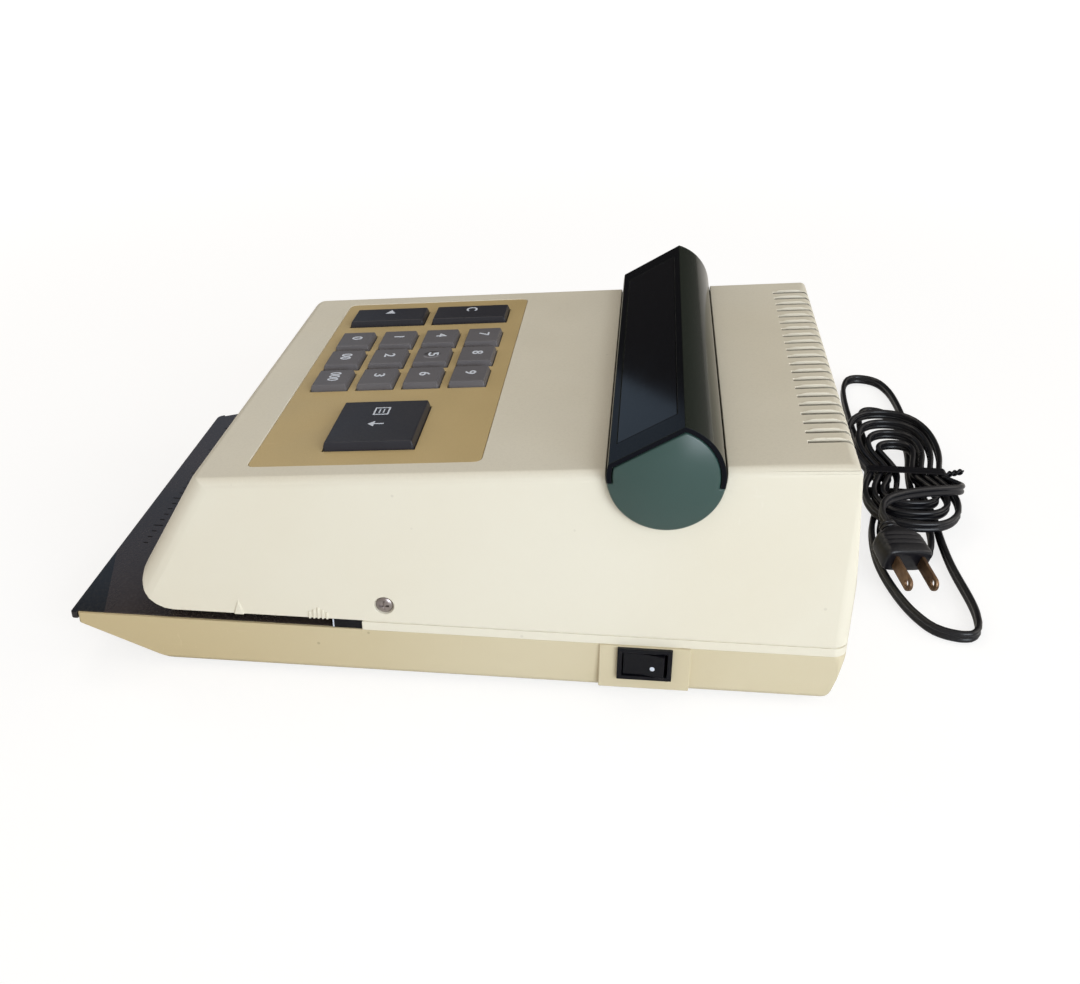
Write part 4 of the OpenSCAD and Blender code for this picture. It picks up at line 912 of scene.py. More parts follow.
# %% [markdown]
# ## Plug body
# A two-blade plug with a moulded body: a ribbed neck that swells into a flat grip with shallow
# finger grooves, and a flat face that holds the blades. Its sections go from round to nearly
# square. A superellipse does that with one power, from 2 for an ellipse to 4 for a soft box, so
# each row of the table is a place, a half width, a half thickness and a power.
# %% Plug body
SECTIONS = ((0.3, 3.3, 3.4, 2), (0.5, 3.9, 3.7, 2), (1.6, 4.1, 3.8, 2), (1.9, 3.6, 3.5, 2),
            (2.6, 3.6, 3.5, 2), (2.9, 4.2, 3.9, 2), (4.0, 4.4, 4.0, 2), (4.3, 3.9, 3.7, 2),
            (5.0, 4.2, 3.8, 2), (6.0, 5.6, 4.6, 2.2), (8.0, 8.6, 5.7, 2.6), (10.5, 10.9, 6.2, 3),
            (12.0, 11.4, 6.4, 3.4), (12.8, 11.4, 6.0, 3.4), (13.6, 11.4, 6.4, 3.6),
            (14.8, 11.5, 6.4, 3.6), (15.6, 11.5, 6.0, 3.6), (16.4, 11.5, 6.4, 3.8),
            (17.6, 11.5, 6.4, 3.8), (18.4, 11.5, 6.0, 3.8), (19.2, 11.5, 6.4, 4),
            (22.6, 11.4, 6.3, 4.4), (23.7, 11.1, 6.0, 4.4), (24.2, 10.3, 5.3, 4.4),
            (24.3, 6.0, 3.0, 3))


def rounded_section(x, wide, thick, power, count=40):
    ring = []
    for j in range(count):
        c, s = around(count, j)
        ring.append(Vector((x, math.copysign(wide * abs(c) ** (2 / power), c),
                            math.copysign(thick * abs(s) ** (2 / power), s))))
    return ring


at_plug = Matrix.Translation(plug_start * MM) @ PLUG_TURN @ Matrix.Scale(MM, 4)
body_mesh = loft("plug_grip", [rounded_section(*section) for section in SECTIONS])
body_mesh.transform(at_plug)
plug_grip = keep("plug_grip", body_mesh, "case", FINISH["cord_black"],
                 ["plug_body"], 50)
print("plug", len(body_mesh.polygons), "faces")


# %% [markdown]
# ## Plug blades
# Each blade is a strip of brass with a round tip and a hole that a socket's spring finds. A
# Boolean would cut the hole, but a flat outline with the hole in it can be filled, given its
# thickness and bevelled in one go, and has clean edges.
# %% One blade
BLADE_ROOT, BLADE_LENGTH, BLADE_HALF, TIP_REACH = 24.3, 14, 3.15, 3.1
HOLE_AT, HOLE_RADIUS, BLADE_THICK, BLADE_SOFT = 13.5, 1.5, 1.5, 0.22


def blade_outlines():
    tip = [math.radians(a) for a in range(-80, 81, 20)]
    hole = [math.radians(a) for a in range(0, 360, 30)]
    end = BLADE_ROOT + BLADE_LENGTH
    rim = [(BLADE_ROOT, -BLADE_HALF), (end, -BLADE_HALF)]
    rim += [(end + TIP_REACH * math.cos(a), BLADE_HALF * math.sin(a)) for a in tip]
    rim += [(end, BLADE_HALF), (BLADE_ROOT, BLADE_HALF)]
    return rim, [(BLADE_ROOT + HOLE_AT + HOLE_RADIUS * math.cos(a), HOLE_RADIUS * math.sin(a))
                 for a in hole]


def blade(middle):
    flat = bmesh.new()
    for outline in blade_outlines():
        corners = [flat.verts.new((x, 0, z)) for x, z in outline]
        for i, corner in enumerate(corners):
            flat.edges.new((corner, corners[(i + 1) % len(corners)]))
    bmesh.ops.triangle_fill(flat, edges=flat.edges, use_beauty=True)
    thick = bmesh.ops.extrude_face_region(flat, geom=flat.faces[:])["geom"]
    bmesh.ops.translate(flat, verts=[v for v in thick if isinstance(v, bmesh.types.BMVert)],
                        vec=(0, BLADE_THICK, 0))
    bmesh.ops.recalc_face_normals(flat, faces=flat.faces)
    rim = [e for e in flat.edges if e.is_manifold and e.calc_face_angle(0) > 0.8]
    bmesh.ops.bevel(flat, geom=rim, offset=BLADE_SOFT, segments=2, profile=0.5, affect="EDGES")
    bmesh.ops.translate(flat, verts=flat.verts, vec=(0, middle - BLADE_THICK / 2, 0))
    return flat


print("blade outline", len(blade_outlines()[0]), "points")

# %% [markdown]
# The two blades stand 12.7 mm apart, to fit their socket. They are one piece, as they are one
# solid, so both are gathered in one mesh before it is moved to the plug.
# %% Both blades
BLADES_APART = 12.7
blade_points, blade_faces = [], []
for sign in (-1, 1):
    flat = blade(sign * BLADES_APART / 2)
    first = len(blade_points)
    flat.verts.index_update()
    blade_points += [v.co.copy() for v in flat.verts]
    blade_faces += [tuple(first + v.index for v in f.verts) for f in flat.faces]
    flat.free()
blade_mesh = mesh_of("blades_rounded", blade_points, blade_faces)
blade_mesh.transform(at_plug)
blades = keep("blades_rounded", blade_mesh, "case", FINISH["blade_brass"],
              ["plug_blades"], 40)
print("blades", len(blade_mesh.polygons), "faces")

# %% [markdown]
# ## Strain relief
# Where the cord leaves the case, a tapered rubber sleeve keeps it from kinking. Its radius falls
# along its length while a wave adds its ribs. That is a rule, so a tree makes it: a circle is
# swept along a short line, and its scale is the taper plus the wave.
# %% Ribbed sleeve
relief_tree, start, end = geometry_tree(
    "ribbed_sleeve", [("Large radius", "f"), ("Small radius", "f"), ("Ribs", "f"),
                      ("Rib depth", "f"), ("Steps", "i"), ("Section points", "i"),
                      ("Material", "m")])
line = place(relief_tree, "GeometryNodeMeshToCurve", None, {0: start["Geometry"]})
axis = place(relief_tree, "GeometryNodeResampleCurve", None,
             {0: line.outputs[0], "Count": start["Steps"]})
along = place(relief_tree, "GeometryNodeSplineParameter").outputs["Factor"]
narrowing = maths(relief_tree, "SUBTRACT", start["Small radius"], start["Large radius"])
taper = maths(relief_tree, "MULTIPLY_ADD", along, narrowing, start["Large radius"])
ribs = maths(relief_tree, "MULTIPLY", maths(relief_tree, "MULTIPLY", along, start["Ribs"]),
             2 * math.pi)
ribbed = maths(relief_tree, "MULTIPLY_ADD", maths(relief_tree, "COSINE", ribs),
               start["Rib depth"], taper)
circle = place(relief_tree, "GeometryNodeCurvePrimitiveCircle", None,
               {"Resolution": start["Section points"], "Radius": 1.0})
turned = place(relief_tree, "GeometryNodeCurveToMesh", None,
               {0: axis.outputs[0], 1: circle.outputs[0], "Fill Caps": True, "Scale": ribbed})
close_tree(relief_tree, turned.outputs[0], start["Material"], end)
sleeve_mesh = grown("relief_sleeve", relief_tree,
                    {"Large radius": 4.4 * MM, "Small radius": 3.3 * MM, "Ribs": 7.0,
                     "Rib depth": 0.22 * MM, "Steps": 71, "Section points": 32,
                     "Material": FINISH["black_rubber"]},
                    [Vector((-70, 152.6, 14)) * MM, Vector((-70, 167.5, 14)) * MM], [(0, 1)])
sleeve = keep("relief_sleeve", sleeve_mesh, "case",
              replaces=["cord_strain_relief"], smooth=70)
print("sleeve", len(sleeve_mesh.polygons), "faces")

# %% [markdown]
# The sleeve sits in a round flange that holds the wall of the case. A flange is turned, so its
# profile is a table of radius and place, and each row becomes a ring of the loft. The first and
# last radius are a hair above nothing, so that the ends close without a doubled point.
# %% Flange
FLANGE_PROFILE = ((0.0, 142.5), (4.3, 142.5), (4.4, 142.8), (4.4, 151.2), (5.4, 151.3),
                  (5.9, 151.6), (6.0, 152.1), (5.9, 152.7), (5.5, 153.0), (0.0, 153.1))
FLANGE_X, FLANGE_Z, FLANGE_SIDES, PIN_RADIUS = -70, 14, 40, 0.05
flange_rings = []
for radius, y in FLANGE_PROFILE:
    radius = max(radius, PIN_RADIUS)
    circle = [around(FLANGE_SIDES, j) for j in range(FLANGE_SIDES)]
    flange_rings.append([Vector((FLANGE_X + radius * c, y, FLANGE_Z + radius * s)) * MM
                         for c, s in circle])
flange = keep("relief_flange", loft("relief_flange", flange_rings), "case",
              FINISH["black_rubber"], smooth=50)
print("flange", len(flange.data.polygons), "faces")

# %% [markdown]
# ## Tie
# The hank is held by a soft flat tie with two ribs. A cable tie could be a plain ring, but this
# one lies close round the turns: its path is a box with round corners, and the same ribbed strip
# is set at each step of it and lofted into a closed band.
# %% Strap round the hank
TIE_LOW, TIE_HIGH, CORNER = (185.51, 0.75), (224.69, 12.95), 1.6
STRIP = ((-3.5, 0.15), (-3.2, 0.45), (-2.4, 0.6), (-1.9, 0.42), (-1.4, 0.6), (-0.5, 0.6),
         (0, 0.42), (0.5, 0.6), (1.4, 0.6), (1.9, 0.42), (2.4, 0.6), (3.2, 0.45), (3.5, 0.15),
         (3.2, -0.02), (0, -0.05), (-3.2, -0.02))
(low_y, low_z), (high_y, high_z) = TIE_LOW, TIE_HIGH
strap_rings = []
for y, z, from_angle in ((high_y - CORNER, low_z + CORNER, -90),
                         (high_y - CORNER, high_z - CORNER, 0),
                         (low_y + CORNER, high_z - CORNER, 90),
                         (low_y + CORNER, low_z + CORNER, 180)):
    for step in range(7):
        a = math.radians(from_angle + 15 * step)
        strap_rings.append([Vector((HANK[0] + x, y + math.cos(a) * (CORNER + lift),
                                    z + math.sin(a) * (CORNER + lift))) * MM
                            for x, lift in STRIP])
strap = keep("hank_strap", loft("hank_strap", strap_rings, closed=True), "case",
             FINISH["black_plastic"], ["cord_tie"], 60)
print("strap", len(strap.data.polygons), "faces")

# %% [markdown]
# The tie's two ends are twisted together behind the hank. Each end is a round wire on a helix, and
# the second starts half a turn after the first, so they lie in each other's gaps.
# %% Twisted ends
TWIST_STEPS, TWIST_RADIUS, WIRE_RADIUS, WIRE_SIDES = 20, 0.95, 0.75, 10
for label, phase in (("a", 0), ("b", math.pi)):
    twist = [Vector((HANK[0] + TWIST_RADIUS * math.cos(phase + k * 0.55), 225.1 + k * 0.42,
                     11.5 + k * 0.12 + TWIST_RADIUS * math.sin(phase + k * 0.55))) * MM
             for k in range(TWIST_STEPS)]
    rings = []
    for k, p in enumerate(twist):
        t = (twist[min(k + 1, TWIST_STEPS - 1)] - twist[max(k - 1, 0)]).normalized()
        u = t.cross(Vector((1, 0, 0))).normalized()
        v = t.cross(u)
        r = WIRE_RADIUS * MM * (1 if k < TWIST_STEPS - 2 else 0.6)
        circle = [around(WIRE_SIDES, j) for j in range(WIRE_SIDES)]
        rings.append([p + r * (u * c + v * s) for c, s in circle])
    twisted = keep("strap_end_" + label, loft("strap_end_" + label, rings), "case",
                   FINISH["black_plastic"], smooth=60)
print("twisted ends", len(twisted.data.polygons), "faces each")

# %% [markdown]
# ## Case
# The two halves of the case are thin moulded shells, with a strip between them, a sheet metal
# panel, a table with its stop, and four feet. Their solids already have the wedge, the slot, the
# notch for the drum and the vents. They could be drawn again here, but all they lack is the small
# radius of moulded edges, so each is dressed with its own radius: the larger the moulding, the
# larger it is.
# %% Case
CASE_PARTS = (("upper_case", "ivory_plastic", 0.35, 2), ("case_band", "ivory_plastic", 0.15, 2),
              ("lower_case", "tan_plastic", 0.35, 2), ("keypad_panel", "gold_panel", 0.12, 2),
              ("paper_table", "black_gloss", 0.25, 2), ("paper_stop", "black_plastic", 0.3, 2),
              ("rubber_feet", "black_rubber", 0.5, 3))
for node, slot, edge, steps in CASE_PARTS:
    dressed(node, "case", FINISH[slot], edge, steps)
print("case pieces dressed", len(CASE_PARTS))

# %% [markdown]
# The stop at the end of the paper's slot shows a thin pale line on its end: a painted highlight on
# the glossy black stop, laid as a sliver in the pale ink finish, so a loft between two small
# rectangles is enough.
# %% Painted highlight on the stop
HIGHLIGHT_CORNERS = ((-45.7, 23.95), (-45.2, 23.95), (-45.2, 27.4), (-45.7, 27.4))
HIGHLIGHT_FROM, HIGHLIGHT_TO = 99.2, 99.52
highlight_rings = [[Vector((x, y, z)) * MM for y, z in HIGHLIGHT_CORNERS] for x in (HIGHLIGHT_FROM, HIGHLIGHT_TO)]
stop_highlight = keep("stop_index", loft("stop_index", highlight_rings), "case", pale_ink_and_highlight)
print("index line", len(stop_highlight.data.polygons), "faces")

# %% [markdown]
# ## A row of copies
# Each of the 21 vent slots has a low raised lip on its far side that catches the light. An Array
# modifier could repeat one lip. A tree does it with a count, a pitch and a finish as named
# inputs, and it is the pattern for every row of equal things.
# %% Tree for a row
def row_points(tree, start):
    points = place(tree, "GeometryNodeMeshLine", None, {"Count": start["Count"]})
    index = place(tree, "GeometryNodeInputIndex").outputs[0]
    out = vector_of(tree, maths(tree, "MULTIPLY", index, start["Pitch"]))
    return index, place(tree, "GeometryNodeSetPosition", None,
                        {0: points.outputs[0], "Position": out}).outputs[0]


row_tree, start, end = geometry_tree(
    "row_of_copies", [("Piece", "o"), ("Count", "i"), ("Pitch", "f"), ("Material", "m")])
_, row = row_points(row_tree, start)
one = place(row_tree, "GeometryNodeObjectInfo", None,
            {"Object": start["Piece"], "As Instance": True})
copies = place(row_tree, "GeometryNodeInstanceOnPoints", None,
               {0: row, "Instance": one.outputs["Geometry"]})
close_tree(row_tree, copies.outputs[0], start["Material"], end)
print("tree", row_tree.name, "with", len(row_tree.nodes), "nodes")

# %% [markdown]
# ## Vent lips
# A lip follows the slope of the case's top, so its height isn't one number. It could be worked out
# from the slope, but rays are surer: they are cast down on the dressed case at seventeen places
# along the slot, and the lip's section is laid on each hit. It rises over the first and last sixth
# of its length, so it grows out of the case and has no cut ends.
# %% One lip
VENT_FRONT, VENT_REAR, LIP_STEPS, LIP_RISE = 131.0, 143.0, 16, 0.62
MIDDLE_SLOT, SLOT_PITCH, SLOT_COUNT, LIP_SIDE = -2.5, 8.1, 21, 1.1
FIRST_SLOT = MIDDLE_SLOT - SLOT_COUNT // 2 * SLOT_PITCH - LIP_SIDE
shell = BVHTree.FromObject(bpy.data.objects["upper_case_moulded"],
                           bpy.context.evaluated_depsgraph_get())
lip_rings = []
for k in range(LIP_STEPS + 1):
    t = k / LIP_STEPS
    y = (VENT_FRONT + t * (VENT_REAR - VENT_FRONT)) * MM
    above_lip = Vector(((FIRST_SLOT - 1.2) * MM, y, 0.2))
    top = shell.ray_cast(above_lip, Vector((0, 0, -1)))[0].z
    rise = LIP_RISE * MM * min(1, 6 * t + 0.05, 6 * (1 - t) + 0.05)
    section = ((-1.25, -0.0003), (-1.05, rise * 0.7), (-0.75, rise), (-0.35, rise),
               (-0.12, rise * 0.6), (-0.02, -0.0006))
    lip_rings.append([Vector((FIRST_SLOT * MM + x * MM, y, top + z)) for x, z in section])
lip = keep("lip_pattern", loft("lip_pattern", lip_rings))
print("lip", len(lip.data.polygons), "faces")

# %% [markdown]
# The row tree repeats the lip at the distance of the slots. The pattern itself isn't part of the
# object, so it is removed once its copies are plain mesh.
# %% All lips
lips_mesh = grown("vent_lips", row_tree,
                  {"Piece": lip, "Count": SLOT_COUNT, "Pitch": SLOT_PITCH * MM,
                   "Material": FINISH["ivory_plastic"]}, [(0, 0, 0)])
bpy.data.objects.remove(lip)
keep("vent_lips", lips_mesh, "case", smooth=50)
print("lips", SLOT_COUNT, "with", len(lips_mesh.polygons), "faces")

# %% [markdown]
# ## Key caps
# Twelve digit caps stand in three columns, with two wide caps to their left and a large one to
# their right. Each rides on a body of its own, so that it can be pressed. The places are kept in
# tables, in millimetres on the slope of the keypad, because the signs need them too.
# %% Key caps
COLUMN_PITCH, ROW_PITCH, DIGIT_HEIGHT = 22.5, 19.7, 2.3
KEYS = {}
for column, row, label in [(0, 0, "0"), (1, 0, "00"), (2, 0, "000")] + [
        (i % 3, i // 3 + 1, str(i + 1)) for i in range(9)]:
    KEYS[label] = (-35 + COLUMN_PITCH * column, 33.1 + ROW_PITCH * row, DIGIT_HEIGHT)
WIDE_KEYS = {"back": (-65.8, 42.95, 2.5), "clear": (-65.8, 82.35, 2.5), "print": (57, 62.65, 3.0)}
for label in KEYS:
    dressed("key_" + label, "key_" + label,
            FINISH["dished_key" if label == "5" else "grey_key"], 0.4, 3)
for label in WIDE_KEYS:
    dressed("key_" + label, "key_" + label, FINISH["black_key"], 0.45, 3)
print("caps", len(KEYS) + len(WIDE_KEYS))


# %% [markdown]
# ## Laying a sign on a cap
# The signs are printed on the caps. A texture would print them, but a thin mesh stays sharp at any
# distance. It must follow the cap, so each of its points is dropped on the cap by a ray: the lower
# face ends a hair inside the cap and the upper a hair above it.
# %% Lay a sign
TOP_TURN = Matrix.Rotation(math.radians(4.53), 4, "X")
ON_TOP = Matrix.Translation(Vector((0, -95.5, 84.9)) * MM) @ TOP_TURN
RAY_ABOVE, SUNK, PROUD, LOWER_FACE = 0.004, -0.00006, 0.00007, 0.00001


def lay_sign(label, mesh, x, along, height):
    at = Matrix.Translation(Vector((x, along, height)) * MM)
    mesh.transform(ON_TOP @ at @ Matrix.Scale(MM, 4))
    up = TOP_TURN @ Vector((0, 0, 1))
    cap = BVHTree.FromObject(bpy.data.objects["key_" + label + "_moulded"],
                             bpy.context.evaluated_depsgraph_get())
    for vertex in mesh.vertices:
        hit = cap.ray_cast(vertex.co + up * RAY_ABOVE, -up)[0]
        lift = (vertex.co - ON_TOP.translation).dot(up) - height * MM
        if hit:
            vertex.co = hit + up * (SUNK if lift < LOWER_FACE else PROUD)
    return keep("sign_" + label, mesh, "key_" + label,
                pale_ink_and_highlight)


print("keypad slopes", round(math.degrees(TOP_TURN.to_euler().x), 2), "degrees")


# %% [markdown]
# ## Drawing a sign
# Digits and the letter are text in Blender's own font, a little bolder by its offset, and made a
# mesh before they are placed. The sheet and the arrows aren't letters, so they are flat outlines
# with a thickness. Longer labels are squeezed to fit their cap.
# %% Text and outlines
def text_mesh(words, size, squeeze=1.0):
    text = bpy.data.curves.new("sign", "FONT")
    text.body, text.size, text.extrude, text.offset = words, size, 0.02, 0.1
    text.align_x, text.align_y = "CENTER", "CENTER"
    text.space_character = 1.04
    writer = bpy.data.objects.new("sign", text)
    SCENE.collection.objects.link(writer)
    graph = bpy.context.evaluated_depsgraph_get()
    mesh = bpy.data.meshes.new_from_object(writer.evaluated_get(graph), depsgraph=graph)
    bpy.data.objects.remove(writer)
    mesh.transform(Matrix.Diagonal((squeeze, 1, 1, 1)))
    return mesh


def flat_sign(outlines, thick=0.04):
    points, faces = [], []
    for outline in outlines:
        n, first = len(outline), len(points)
        points += [(x, y, 0) for x, y in outline] + [(x, y, thick) for x, y in outline]
        faces += [tuple(first + i for i in reversed(range(n))),
                  tuple(first + n + i for i in range(n))]
        faces += [(first + i, first + (i + 1) % n, first + n + (i + 1) % n, first + n + i)
                  for i in range(n)]
    return mesh_of("sign", points, faces)


def bar(x0, y0, x1, y1):
    return [(x0, y0), (x1, y0), (x1, y1), (x0, y1)]


print("helpers: text_mesh, flat_sign, bar")

# %% [markdown]
# ## Signs
# The digits sit a little left of the middle of their caps, and the wide keys' signs further left,
# as on the real keys. Each sign could be placed by hand, but only its label and place differ from
# the next one, so a loop over the table of caps lays them all.
# %% Signs on the keys
DIGIT_SIZE, SQUEEZE, WIDE_SHIFT = 6.6, (1.2, 1.0, 0.9), 3.4
for label, (x, along, height) in KEYS.items():
    digits = text_mesh(label, DIGIT_SIZE, SQUEEZE[len(label) - 1])
    lay_sign(label, digits, x - 1.0, along + 0.3, height)
back_arrow = flat_sign([[(-2.6, 0), (2.0, -2.3), (2.0, 2.3)]])
for label, sign in (("clear", text_mesh("C", 7.2)), ("back", back_arrow)):
    x, along, height = WIDE_KEYS[label]
    lay_sign(label, sign, x - WIDE_SHIFT, along, height)
print("signs laid", len(KEYS) + 2)

# %% [markdown]
# The large key has a plain sheet with an arrow beside it. The sheet is a frame of four bars with
# two lines of writing, and the arrow is a bar with a triangle. Both are moved apart and enlarged
# together before they are laid, which keeps their drawing simple.
# %% Sign on the large key
SHEET = (bar(-2.8, -2.6, 2.8, -2.1), bar(-2.8, 2.1, 2.8, 2.6), bar(-2.8, -2.1, -2.3, 2.1),
         bar(2.3, -2.1, 2.8, 2.1), bar(-1.4, -0.9, 1.4, -0.5), bar(-1.4, 0.5, 1.4, 0.9))
ARROW = (bar(-0.3, -0.6, 0.3, 2.6), [(-2.0, -0.6), (0, -2.8), (2.0, -0.6)])
ENLARGED, SHEET_SHIFT, ARROW_SHIFT, PRINT_SHIFT = 1.2, -5.4, 4.4, 2.6
drawn = [[((x + shift) * ENLARGED, y * ENLARGED) for x, y in outline]
         for outlines, shift in ((SHEET, SHEET_SHIFT), (ARROW, ARROW_SHIFT))
         for outline in outlines]
x, along, height = WIDE_KEYS["print"]
lay_sign("print", flat_sign(drawn), x - PRINT_SHIFT, along, height)
print("outlines on the large key", len(drawn))

# %% [markdown]
# ## Display drum
# The drum turns in the notch of the case. A glossy hood wraps it, the flat smoked window faces the
# operator, and a dull cap closes each end. The caps have the softest edge of all, so they take
# more steps. All of them ride on the display's own body, so that they tilt together.
# %% Drum
DRUM_PARTS = (("display_hood", "drum_black", 0.2, 2), ("display_base", "drum_black", 0.2, 2),
              ("display_window", "dark_window", 0.1, 2),
              ("display_cap_right", "cap_grey_green", 0.75, 4),
              ("display_cap_left", "cap_grey_green", 0.75, 4))
for node, slot, edge, steps in DRUM_PARTS:
    dressed(node, "display", FINISH[slot], edge, steps)
print("drum pieces dressed", len(DRUM_PARTS))

# %% [markdown]
# ## Power switch
# A snap-in rocker switch: a bezel with a step round its opening, and a rocker in it. Both shapes
# are in the solids, and the rocker rides on a body of its own.
# %% Switch
for node, body, edge in (("switch_housing", "case", 0.3), ("switch_rocker", "rocker", 0.25)):
    dressed(node, body, FINISH["black_plastic"], edge)
print("switch dressed")

# %% [markdown]
# ## One screw
# Six cross-head screws hold the case. A screw is turned, so its head and shank are a profile of
# radius and height. Its cross is a recess with twelve corners that narrows downwards, and a
# Boolean cuts it out, because its walls meet a domed head.
# %% One screw
SCREW_PROFILE = ((0.0, -4.6), (1.45, -4.6), (1.5, -4.4), (1.5, 0.0), (3.1, 0.0), (3.35, 0.12),
                 (3.4, 0.4), (3.1, 0.8), (2.3, 1.15), (1.2, 1.32), (0.0, 1.36))
SCREW_SIDES, TIP_RADIUS, ARM, ARM_HALF = 32, 0.02, 2.1, 0.42
screw_rings = []
for r, z in SCREW_PROFILE:
    r = max(r, TIP_RADIUS)
    circle = [around(SCREW_SIDES, j) for j in range(SCREW_SIDES)]
    screw_rings.append([Vector((r * c, r * s, z)) for c, s in circle])
screw = keep("screw_pattern", loft("screw_pattern", screw_rings), smooth=40)
cross_rings = []
for z, share in ((0.35, 0.45), (0.9, 0.8), (1.8, 1.25)):
    a, b = ARM * share, ARM_HALF
    cross_rings.append([Vector((x, y, z)) for x, y in (
        (a, -b), (a, b), (b, b), (b, a), (-b, a), (-b, b),
        (-a, b), (-a, -b), (-b, -b), (-b, -a), (b, -a), (b, -b))])
cross = keep("screw_cross", loft("screw_cross", cross_rings))
cut = screw.modifiers.new("cross", "BOOLEAN")
cut.operation, cut.object, cut.solver = "DIFFERENCE", cross, "EXACT"
graph = bpy.context.evaluated_depsgraph_get()
screw_mesh = bpy.data.meshes.new_from_object(screw.evaluated_get(graph), depsgraph=graph)
screw.modifiers.remove(cut)
screw.data = screw_mesh
print("screw", len(screw_mesh.polygons), "faces")

# %% [markdown]
# ## Tree that sets screws
# The screws point out of three different faces. Six objects could be turned by hand, but a tree
# can set a copy on each seed point and turn it along a direction that is stored with the point.
# Each screw is also spun by its number, because real screws never line up.
# %% Tree that sets screws
SPIN = 0.9
screw_tree, start, end = geometry_tree(
    "set_screws", [("Screw", "o"), ("Scale", "f"), ("Material", "m")])
pattern = place(screw_tree, "GeometryNodeObjectInfo", None,
                {"Object": start["Screw"], "As Instance": True})
stored = place(screw_tree, "GeometryNodeInputNamedAttribute", {"data_type": "FLOAT_VECTOR"},
               {"Name": "axis"})
turn = place(screw_tree, "FunctionNodeAlignEulerToVector", {"axis": "Z"},
             {"Vector": stored.outputs[0]})
number = place(screw_tree, "GeometryNodeInputIndex").outputs[0]
spin = place(screw_tree, "FunctionNodeRotateEuler",
             {"rotation_type": "AXIS_ANGLE", "space": "OBJECT"},
             {"Rotation": turn.outputs[0], "Angle": maths(screw_tree, "MULTIPLY", number, SPIN)})
copies = place(screw_tree, "GeometryNodeInstanceOnPoints", None,
               {0: start["Geometry"], "Instance": pattern.outputs["Geometry"],
                "Rotation": spin.outputs[0], "Scale": start["Scale"]})
close_tree(screw_tree, copies.outputs[0], start["Material"], end)
print("tree", screw_tree.name, "with", len(screw_tree.nodes), "nodes")

# %% [markdown]
# Two screws sit in the sides of the case and four in its floor. The screw was drawn in
# millimetres, and the tree's scale brings it to metres.
# %% Set the screws
screw_places = [((98.75, -25, 35.2), (1, 0, 0)), ((-98.75, -25, 35.2), (-1, 0, 0))] + [
    ((x, y, 2.45), (0, 0, -1)) for x in (-60, 60) for y in (-14.1, 121.5)]
screws_mesh = grown("cross_head_screws", screw_tree,
                    {"Screw": screw, "Scale": MM, "Material": FINISH["screw_steel"]},
                    [Vector(p) * MM for p, _ in screw_places], vectors=[v for _, v in screw_places])
keep("cross_head_screws", screws_mesh, "case", replaces=["case_screws"], smooth=40)
bpy.data.objects.remove(screw)
bpy.data.objects.remove(cross)
print("screws", len(screw_places), "with", len(screws_mesh.polygons), "faces")

# %% [markdown]
# ## Scale on the paper table
# The front of the table has a row of small printed marks, along which a check is placed. They are
# thin bars, every fifth one longer. The row of points is the one from the vents, and the tree
# scales a unit cube on each point: its length is short or long by the remainder of its number.
# %% Tree for the marks
MARK_THICK, LONG_EVERY = 0.00004, 5.0
scale_tree, start, end = geometry_tree(
    "scale_marks", [("Count", "i"), ("Pitch", "f"), ("Short", "f"), ("Long", "f"),
                    ("Width", "f"), ("Material", "m")])
index, row = row_points(scale_tree, start)
fifth = maths(scale_tree, "LESS_THAN", maths(scale_tree, "MODULO", index, LONG_EVERY), 0.5)
longer = maths(scale_tree, "SUBTRACT", start["Long"], start["Short"])
length = maths(scale_tree, "MULTIPLY_ADD", fifth, longer, start["Short"])
mark = place(scale_tree, "GeometryNodeMeshCube", None, {"Size": (1, 1, 1)})
marks = place(scale_tree, "GeometryNodeInstanceOnPoints", None,
              {0: row, "Instance": mark.outputs[0],
               "Scale": vector_of(scale_tree, start["Width"], length, MARK_THICK)})
close_tree(scale_tree, marks.outputs[0], start["Material"], end)
print("tree", scale_tree.name, "with", len(scale_tree.nodes), "nodes")

# %% [markdown]
# The marks lie on the flat of the table, half sunk in it, from near its left end to a little past
# its middle. A Geometry Nodes row starts at the origin, so the finished mesh is moved to its place.
# %% Scale marks
MARKS_FROM = Vector((-70, -141.5, 23.62))
marks_mesh = grown("table_scale", scale_tree,
                   {"Count": 24, "Pitch": 5 * MM, "Short": 2 * MM, "Long": 4.2 * MM,
                    "Width": 0.6 * MM, "Material": dark_ink}, [(0, 0, 0)])
marks_mesh.transform(Matrix.Translation(MARKS_FROM * MM))
keep("table_scale", marks_mesh, "case")
print("marks", len(marks_mesh.polygons) // 6)

# %% [markdown]
# ## White dot
# The on side of the power rocker has a small printed dot. A white disc painted by a mask would
# blur at its rim. So it is a very low round stud, lofted in the rocker's own turned frame, with a
# top that is a little smaller than its foot.
# %% White dot
ROCKER = (Matrix.Translation(Vector((100.2, 75.3, 16.5)))
          @ Matrix.Rotation(math.radians(-8), 4, "Z"))
DOT_Y, DOT_Z, DOT_SIDES, DOT_PROFILE = 3.4, -1.2, 24, ((2.1, 0.95), (2.48, 0.95), (2.52, 0.8))
dot_rings = []
for x, r in DOT_PROFILE:
    circle = [around(DOT_SIDES, j) for j in range(DOT_SIDES)]
    dot_rings.append([(ROCKER @ Vector((x, DOT_Y + r * c, DOT_Z + r * s))) * MM
                      for c, s in circle])
dot = keep("rocker_dot", loft("rocker_dot", dot_rings), "rocker", pale_ink_and_highlight,
           smooth=40)
print("dot", len(dot.data.polygons), "faces")

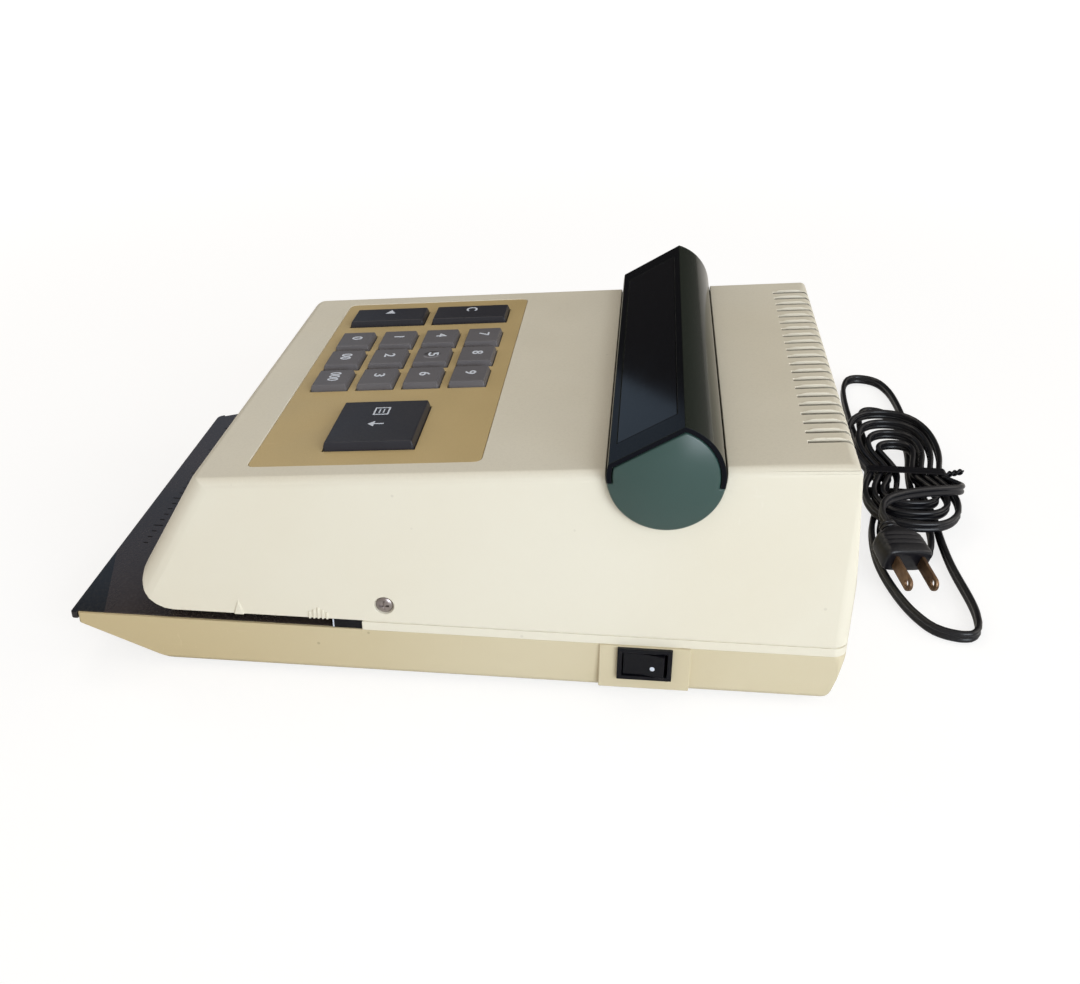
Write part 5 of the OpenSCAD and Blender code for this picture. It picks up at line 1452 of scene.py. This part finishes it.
# %% [markdown]
# ## Floor
# The machine stands on a plain pale floor. A brighter lamp would whiten the floor, but the machine
# with it. Instead the floor is lifted towards white only where the camera sees it straight, most
# of all far from the machine, so its shadow stays and the light on the machine doesn't change.
# %% Floor
FLOOR_HALF, FLOOR_GREY, FLOOR_WHITE = 12, 0.88, 1.15
LIFT_FROM, LIFT_TO, LIFT_NEAR = 0.35, 1.6, 0.66
corners = [(x * FLOOR_HALF, y * FLOOR_HALF, 0) for x, y in ((-1, -1), (1, -1), (1, 1), (-1, 1))]
floor = keep("floor", mesh_of("floor", corners, [(0, 1, 2, 3)]))
floor_paint, tree = blank_material("pale_floor")
seen = place(tree, "ShaderNodeLightPath").outputs
straight = maths(tree, "MAXIMUM", seen["Is Camera Ray"], seen["Is Transmission Ray"])
reach = vectors(tree, "LENGTH", place(tree, "ShaderNodeTexCoord").outputs["Object"])
lifted = maths(tree, "MULTIPLY", straight,
               ranged(tree, reach, LIFT_FROM, LIFT_TO, LIFT_NEAR, 1.0, smooth=True))
card = place(tree, "ShaderNodeBsdfDiffuse", None, {"Color": (FLOOR_GREY,) * 3 + (1,)})
white = place(tree, "ShaderNodeEmission", None, {"Color": (1, 1, 1, 1), "Strength": FLOOR_WHITE})
joined = place(tree, "ShaderNodeMixShader", None,
               {0: lifted, 1: card.outputs[0], 2: white.outputs[0]})
place(tree, "ShaderNodeOutputMaterial", None, {0: joined.outputs[0]})
floor.data.materials.append(floor_paint)
print("floor", 2 * FLOOR_HALF, "m wide")

# %% [markdown]
# ## Room
# Black gloss is made of what it reflects. In the picture the drum and the table reflect a room that
# is dim behind the machine's left side, so the world is pale all round and falls off to dark in
# that one direction. A picture of a room could light it, but two plain tones and a soft edge are
# enough. The camera sees white instead, straight or through glass.
# %% World
ROOM_COLOUR, DARK_SIDE = (1.0, 0.93, 0.85, 1), (-0.85, -0.46, 0.24)
ROOM_PALE, ROOM_DIM = 0.62, 0.035
world = bpy.data.worlds.new("pale_room")
SCENE.world = world
world.use_nodes = True
tree = world.node_tree
tree.nodes.clear()
seen = place(tree, "ShaderNodeLightPath").outputs
direct = maths(tree, "MAXIMUM", seen["Is Camera Ray"], seen["Is Transmission Ray"])
away = vectors(tree, "DOT_PRODUCT", place(tree, "ShaderNodeTexCoord").outputs["Generated"],
               DARK_SIDE)
dimmed = ranged(tree, away, 0.2, 0.8, ROOM_PALE, ROOM_DIM, smooth=True)
room = place(tree, "ShaderNodeBackground", None, {"Color": ROOM_COLOUR, "Strength": dimmed})
back = place(tree, "ShaderNodeBackground", None, {"Color": (1, 1, 1, 1), "Strength": 1.0})
either = place(tree, "ShaderNodeMixShader", None,
               {0: direct, 1: room.outputs[0], 2: back.outputs[0]})
place(tree, "ShaderNodeOutputWorld", None, {0: either.outputs[0]})
print("world", world.name)

# %% [markdown]
# ## Lamps
# The light comes mostly from the operator's right and the rear, as in the picture: the right side
# is bright and the top lies half in shade. Large square lamps give soft shadows. Three weak warm
# ones fill the other sides, and a faint bluish one is there for its reflection in the window.
# %% Lamps
def soft_lamp(name, at, aim, size, watts, colour):
    lamp = bpy.data.lights.new(name, "AREA")
    lamp.shape, lamp.size, lamp.energy, lamp.color = "SQUARE", size, watts, colour
    holder = bpy.data.objects.new(name, lamp)
    SCENE.collection.objects.link(holder)
    holder.location = at
    holder.rotation_euler = (Vector(aim) - Vector(at)).to_track_quat("-Z", "Y").to_euler()


soft_lamp("window_light", (1.3, 0.9, 0.55), (0.1, 0.1, 0.05), 0.9, 17, (0.84, 0.92, 1.0))
soft_lamp("rear_fill", (0.0, 1.6, 0.7), (0, 0.1, 0.05), 0.9, 4, (1.0, 0.95, 0.88))
soft_lamp("front_fill", (-0.1, -1.3, 1.0), (0, 0, 0.05), 1.0, 1.6, (1.0, 0.92, 0.82))
soft_lamp("left_fill", (-0.8, -0.5, 1.4), (0, 0, 0.05), 0.8, 4.6, (1.0, 0.92, 0.8))
soft_lamp("glass_glow", (-1.0, -0.55, 0.50), (-0.02, 0.0, 0.1), 0.42, 0.2, (0.55, 0.75, 1.0))
SCENE.view_settings.view_transform = "Standard"
print("lamps", len(bpy.data.lights))
